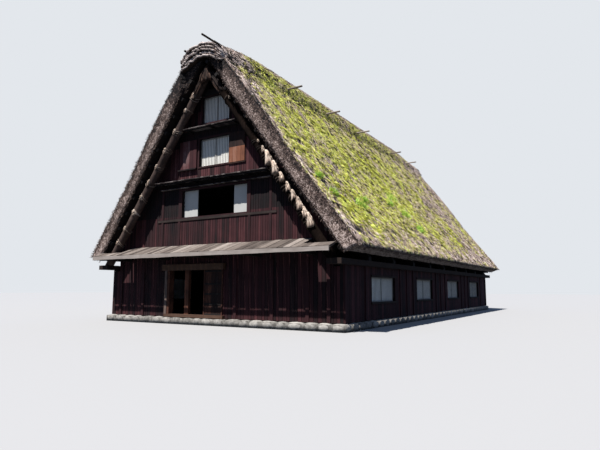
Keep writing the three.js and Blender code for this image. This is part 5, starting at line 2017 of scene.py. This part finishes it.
@dataclass
class PentRoof:
    """The board roof across the foot of a gable: boards down the slope, an edge board and arms."""

    end: End
    half_width: float = 6.25
    boards: int = 46
    wall_top: float = 3.42
    edge_top: float = 2.99
    edge_bottom: float = 2.81
    wall: float = 12.2003
    edge: float = 13.42
    notch_x: float = 5.08
    notch_y: float = 12.905
    arms: tuple[float, ...] = (-5.0, -2.5, 0.0, 2.5, 5.0)
    arm_outline: tuple[Range, ...] = ((12.2003, 2.78), (13.39, 2.78), (13.39, 2.90), (12.2003, 3.33))

    def top_at(self, y: Any) -> Any:
        """Height of the roof's top at a distance from the house's middle."""
        return self.wall_top + (y - self.wall) / (self.edge - self.wall) * (self.edge_top - self.wall_top)

    def outline(self, x: Any, corners: Sequence[tuple[Any, Any]]) -> Array:
        """Outlines square to the ridge at X, from Y towards this end and Z at each corner."""
        return np.stack([spots(x, self.end.value * y, z) for y, z in corners], axis=1)

    def build(self) -> None:
        """Makes and dresses the pent roof."""
        random = np.random.default_rng(1200 + self.end.value)
        out, count, made = self.end.value, self.boards, Surface()
        edges = np.linspace(-self.half_width, self.half_width, count + 1)
        edges[1:-1] += random.uniform(-0.04, 0.04, count - 1)
        x0, x1 = edges[:-1] + 0.005, edges[1:] - 0.005
        y0 = np.where(np.maximum(np.abs(x0), np.abs(x1)) > self.notch_x, self.notch_y, self.wall)
        y1 = self.edge - random.uniform(0.002, 0.04, count)
        lift = -random.uniform(0.0, 0.02, count)
        layers = ((0.0, 0.028, 0.06, (0.1, 0.8)), (0.045, 0.08 - 0.045, 0.07, (0.0, 0.3)))
        for under, thick, back, tone in layers:  # depth under the top, thickness, set-back and tints
            z0, z1 = self.top_at(y0) - under + lift, self.top_at(y1 - back) - under + lift
            corners = [(y0, z0), (y1 - back, z1), (y1 - back, z1 - thick), (y0, z0 - thick)]
            made.prisms(self.outline(x0, corners), spots(x1 - x0, 0, 0), random.uniform(*tone, count))
        made.prisms(self.outline(np.array(self.arms) - 0.06, self.arm_outline), (0.12, 0.0, 0.0), 0.3, 1)
        x = np.linspace(-self.half_width + 0.01, self.half_width - 0.01, 90)
        high = self.edge_top - 0.012 + 0.012 * rough(spots(x, 0, 0), 0.9, 81)
        low = self.edge_bottom + 0.012 + 0.012 * rough(spots(x, 0, 0), 0.7, 82)
        rim = ((x[:-1], low[:-1]), (x[1:], low[1:]), (x[1:], high[1:]), (x[:-1], high[:-1]))
        front = np.stack([spots(u, 13.415 * out, z) for u, z in rim], axis=1)
        made.prisms(front, (0.0, -0.045 * out, 0.0), 0.6, 2)
        wide = self.half_width - 0.02
        made.boxes((-wide, wide), (13.33 * out, 13.365 * out), (self.edge_bottom, self.edge_top - 0.1), 0.2, 1)
        node = f"{self.end.label}_pent_roof"
        made.piece(f"{node}_boards", [SHADED_SILVER_BOARD, SMOKED_ALONG, SILVER_EDGE], "weathered_boards", [node])


def dress_frame_nodes() -> None:
    """Gives the CAD nodes that stay their finishes."""
    floors = ["ground_floor"] + [f"attic_floor_{storey}" for storey in ("lower", "middle", "upper")]
    for name in floors + ["left_roof_lattice", "right_roof_lattice"]:
        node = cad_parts[name]
        node.data.materials.clear()
        node.data.materials.append(SMOKED_ALONG.material())
        LOG.info("%s keeps its shape", name)


@dataclass(frozen=True)
class Studio:
    """Camera, soft lights, the pale background and the floor."""

    position: tuple[float, float, float] = (14.194, -28.324, 1.521)
    turn: float = math.radians(31.37)
    pitch: float = math.radians(7.28)
    roll: float = math.radians(0.15)
    lens: float = 29.98
    sun_from: tuple[float, float, float] = (-0.165, -1.0, 1.95)
    sun_strength: float = 8.2
    sun_angle: float = math.radians(0.7)
    sun_colour: tuple[float, float, float] = (1.0, 0.98, 0.97)
    sky: str = "#a3c4fb"
    fill: float = 0.42
    background: str = "#e3e7ec"
    floor_half: float = 150.0
    floor_z: float = -0.002

    def camera(self) -> None:
        """Sets the camera at the photograph's viewing angle."""
        level = math.cos(self.pitch)
        look = np.array([-math.sin(self.turn) * level, math.cos(self.turn) * level, math.sin(self.pitch)])
        right = np.array([math.cos(self.turn), math.sin(self.turn), 0.0])
        up = np.cross(right, look)
        turned_right = right * math.cos(self.roll) + up * math.sin(self.roll)
        turned_up = up * math.cos(self.roll) - right * math.sin(self.roll)
        axes = np.eye(4)
        axes[:3] = np.stack([turned_right, turned_up, -look, np.array(self.position)], axis=1)
        data = bpy.data.cameras.new("camera")
        data.lens, data.sensor_width = self.lens, 36.0
        data.clip_end = 1000.0
        made = bpy.data.objects.new("camera", data)
        bpy.context.scene.collection.objects.link(made)
        made.matrix_world = Matrix(axes.tolist())
        bpy.context.scene.camera = made

    def lights(self) -> None:
        """Sets a soft sun high over the front, and a pale sky that fills the shade."""
        data = bpy.data.lights.new("sun", "SUN")
        data.energy, data.angle, data.color = self.sun_strength, self.sun_angle, self.sun_colour
        made = bpy.data.objects.new("sun", data)
        toward = unit(np.array(self.sun_from))
        side = unit(np.cross([0.0, 0.0, 1.0], toward))
        axes = np.stack([side, np.cross(toward, side), toward], axis=1)
        made.rotation_euler = Matrix(axes.tolist()).to_euler()
        bpy.context.scene.collection.objects.link(made)
        world = bpy.data.worlds.new("studio")
        world.use_nodes = True
        tree = world.node_tree
        tree.nodes.clear()
        seen = add_node(tree, "ShaderNodeLightPath", {}, "Is Camera Ray")
        fill = add_node(tree, "ShaderNodeBackground", {"Color": linear(self.sky), "Strength": self.fill})
        back = add_node(tree, "ShaderNodeBackground", {"Color": linear(self.background), "Strength": 1.0})
        mixed = add_node(tree, "ShaderNodeMixShader", {0: seen, 1: fill, 2: back})
        add_node(tree, "ShaderNodeOutputWorld", {"Surface": mixed})
        bpy.context.scene.world = world
        bpy.context.scene.view_settings.view_transform = "Standard"

    def floor(self) -> None:
        """Lays the plain pale floor just under the footing."""
        half, z = self.floor_half, self.floor_z
        mesh = bpy.data.meshes.new("floor")
        corners = [(-half, -half, z), (half, -half, z), (half, half, z), (-half, half, z)]
        mesh.from_pydata(corners, [], [(0, 1, 2, 3)])
        mesh.materials.append(FLOOR.material())
        made = bpy.data.objects.new("floor", mesh)
        bpy.context.scene.collection.objects.link(made)

    def build(self) -> None:
        """Sets up the whole studio."""
        self.camera()
        self.lights()
        self.floor()


def main() -> None:
    """Builds the house in order and reports each piece."""
    logging.basicConfig(level=logging.INFO, format="%(name)s: %(message)s", stream=sys.stdout)
    Studio().build()
    for side in Side:
        ThatchSlope(side).build()
    RidgeCap().build()
    for end in End:
        Gable(end).build()
        EndRafters(end).build()
        PentRoof(end).build()
    GroundStorey().build()
    dress_frame_nodes()


if __name__ == "__main__":
    main()
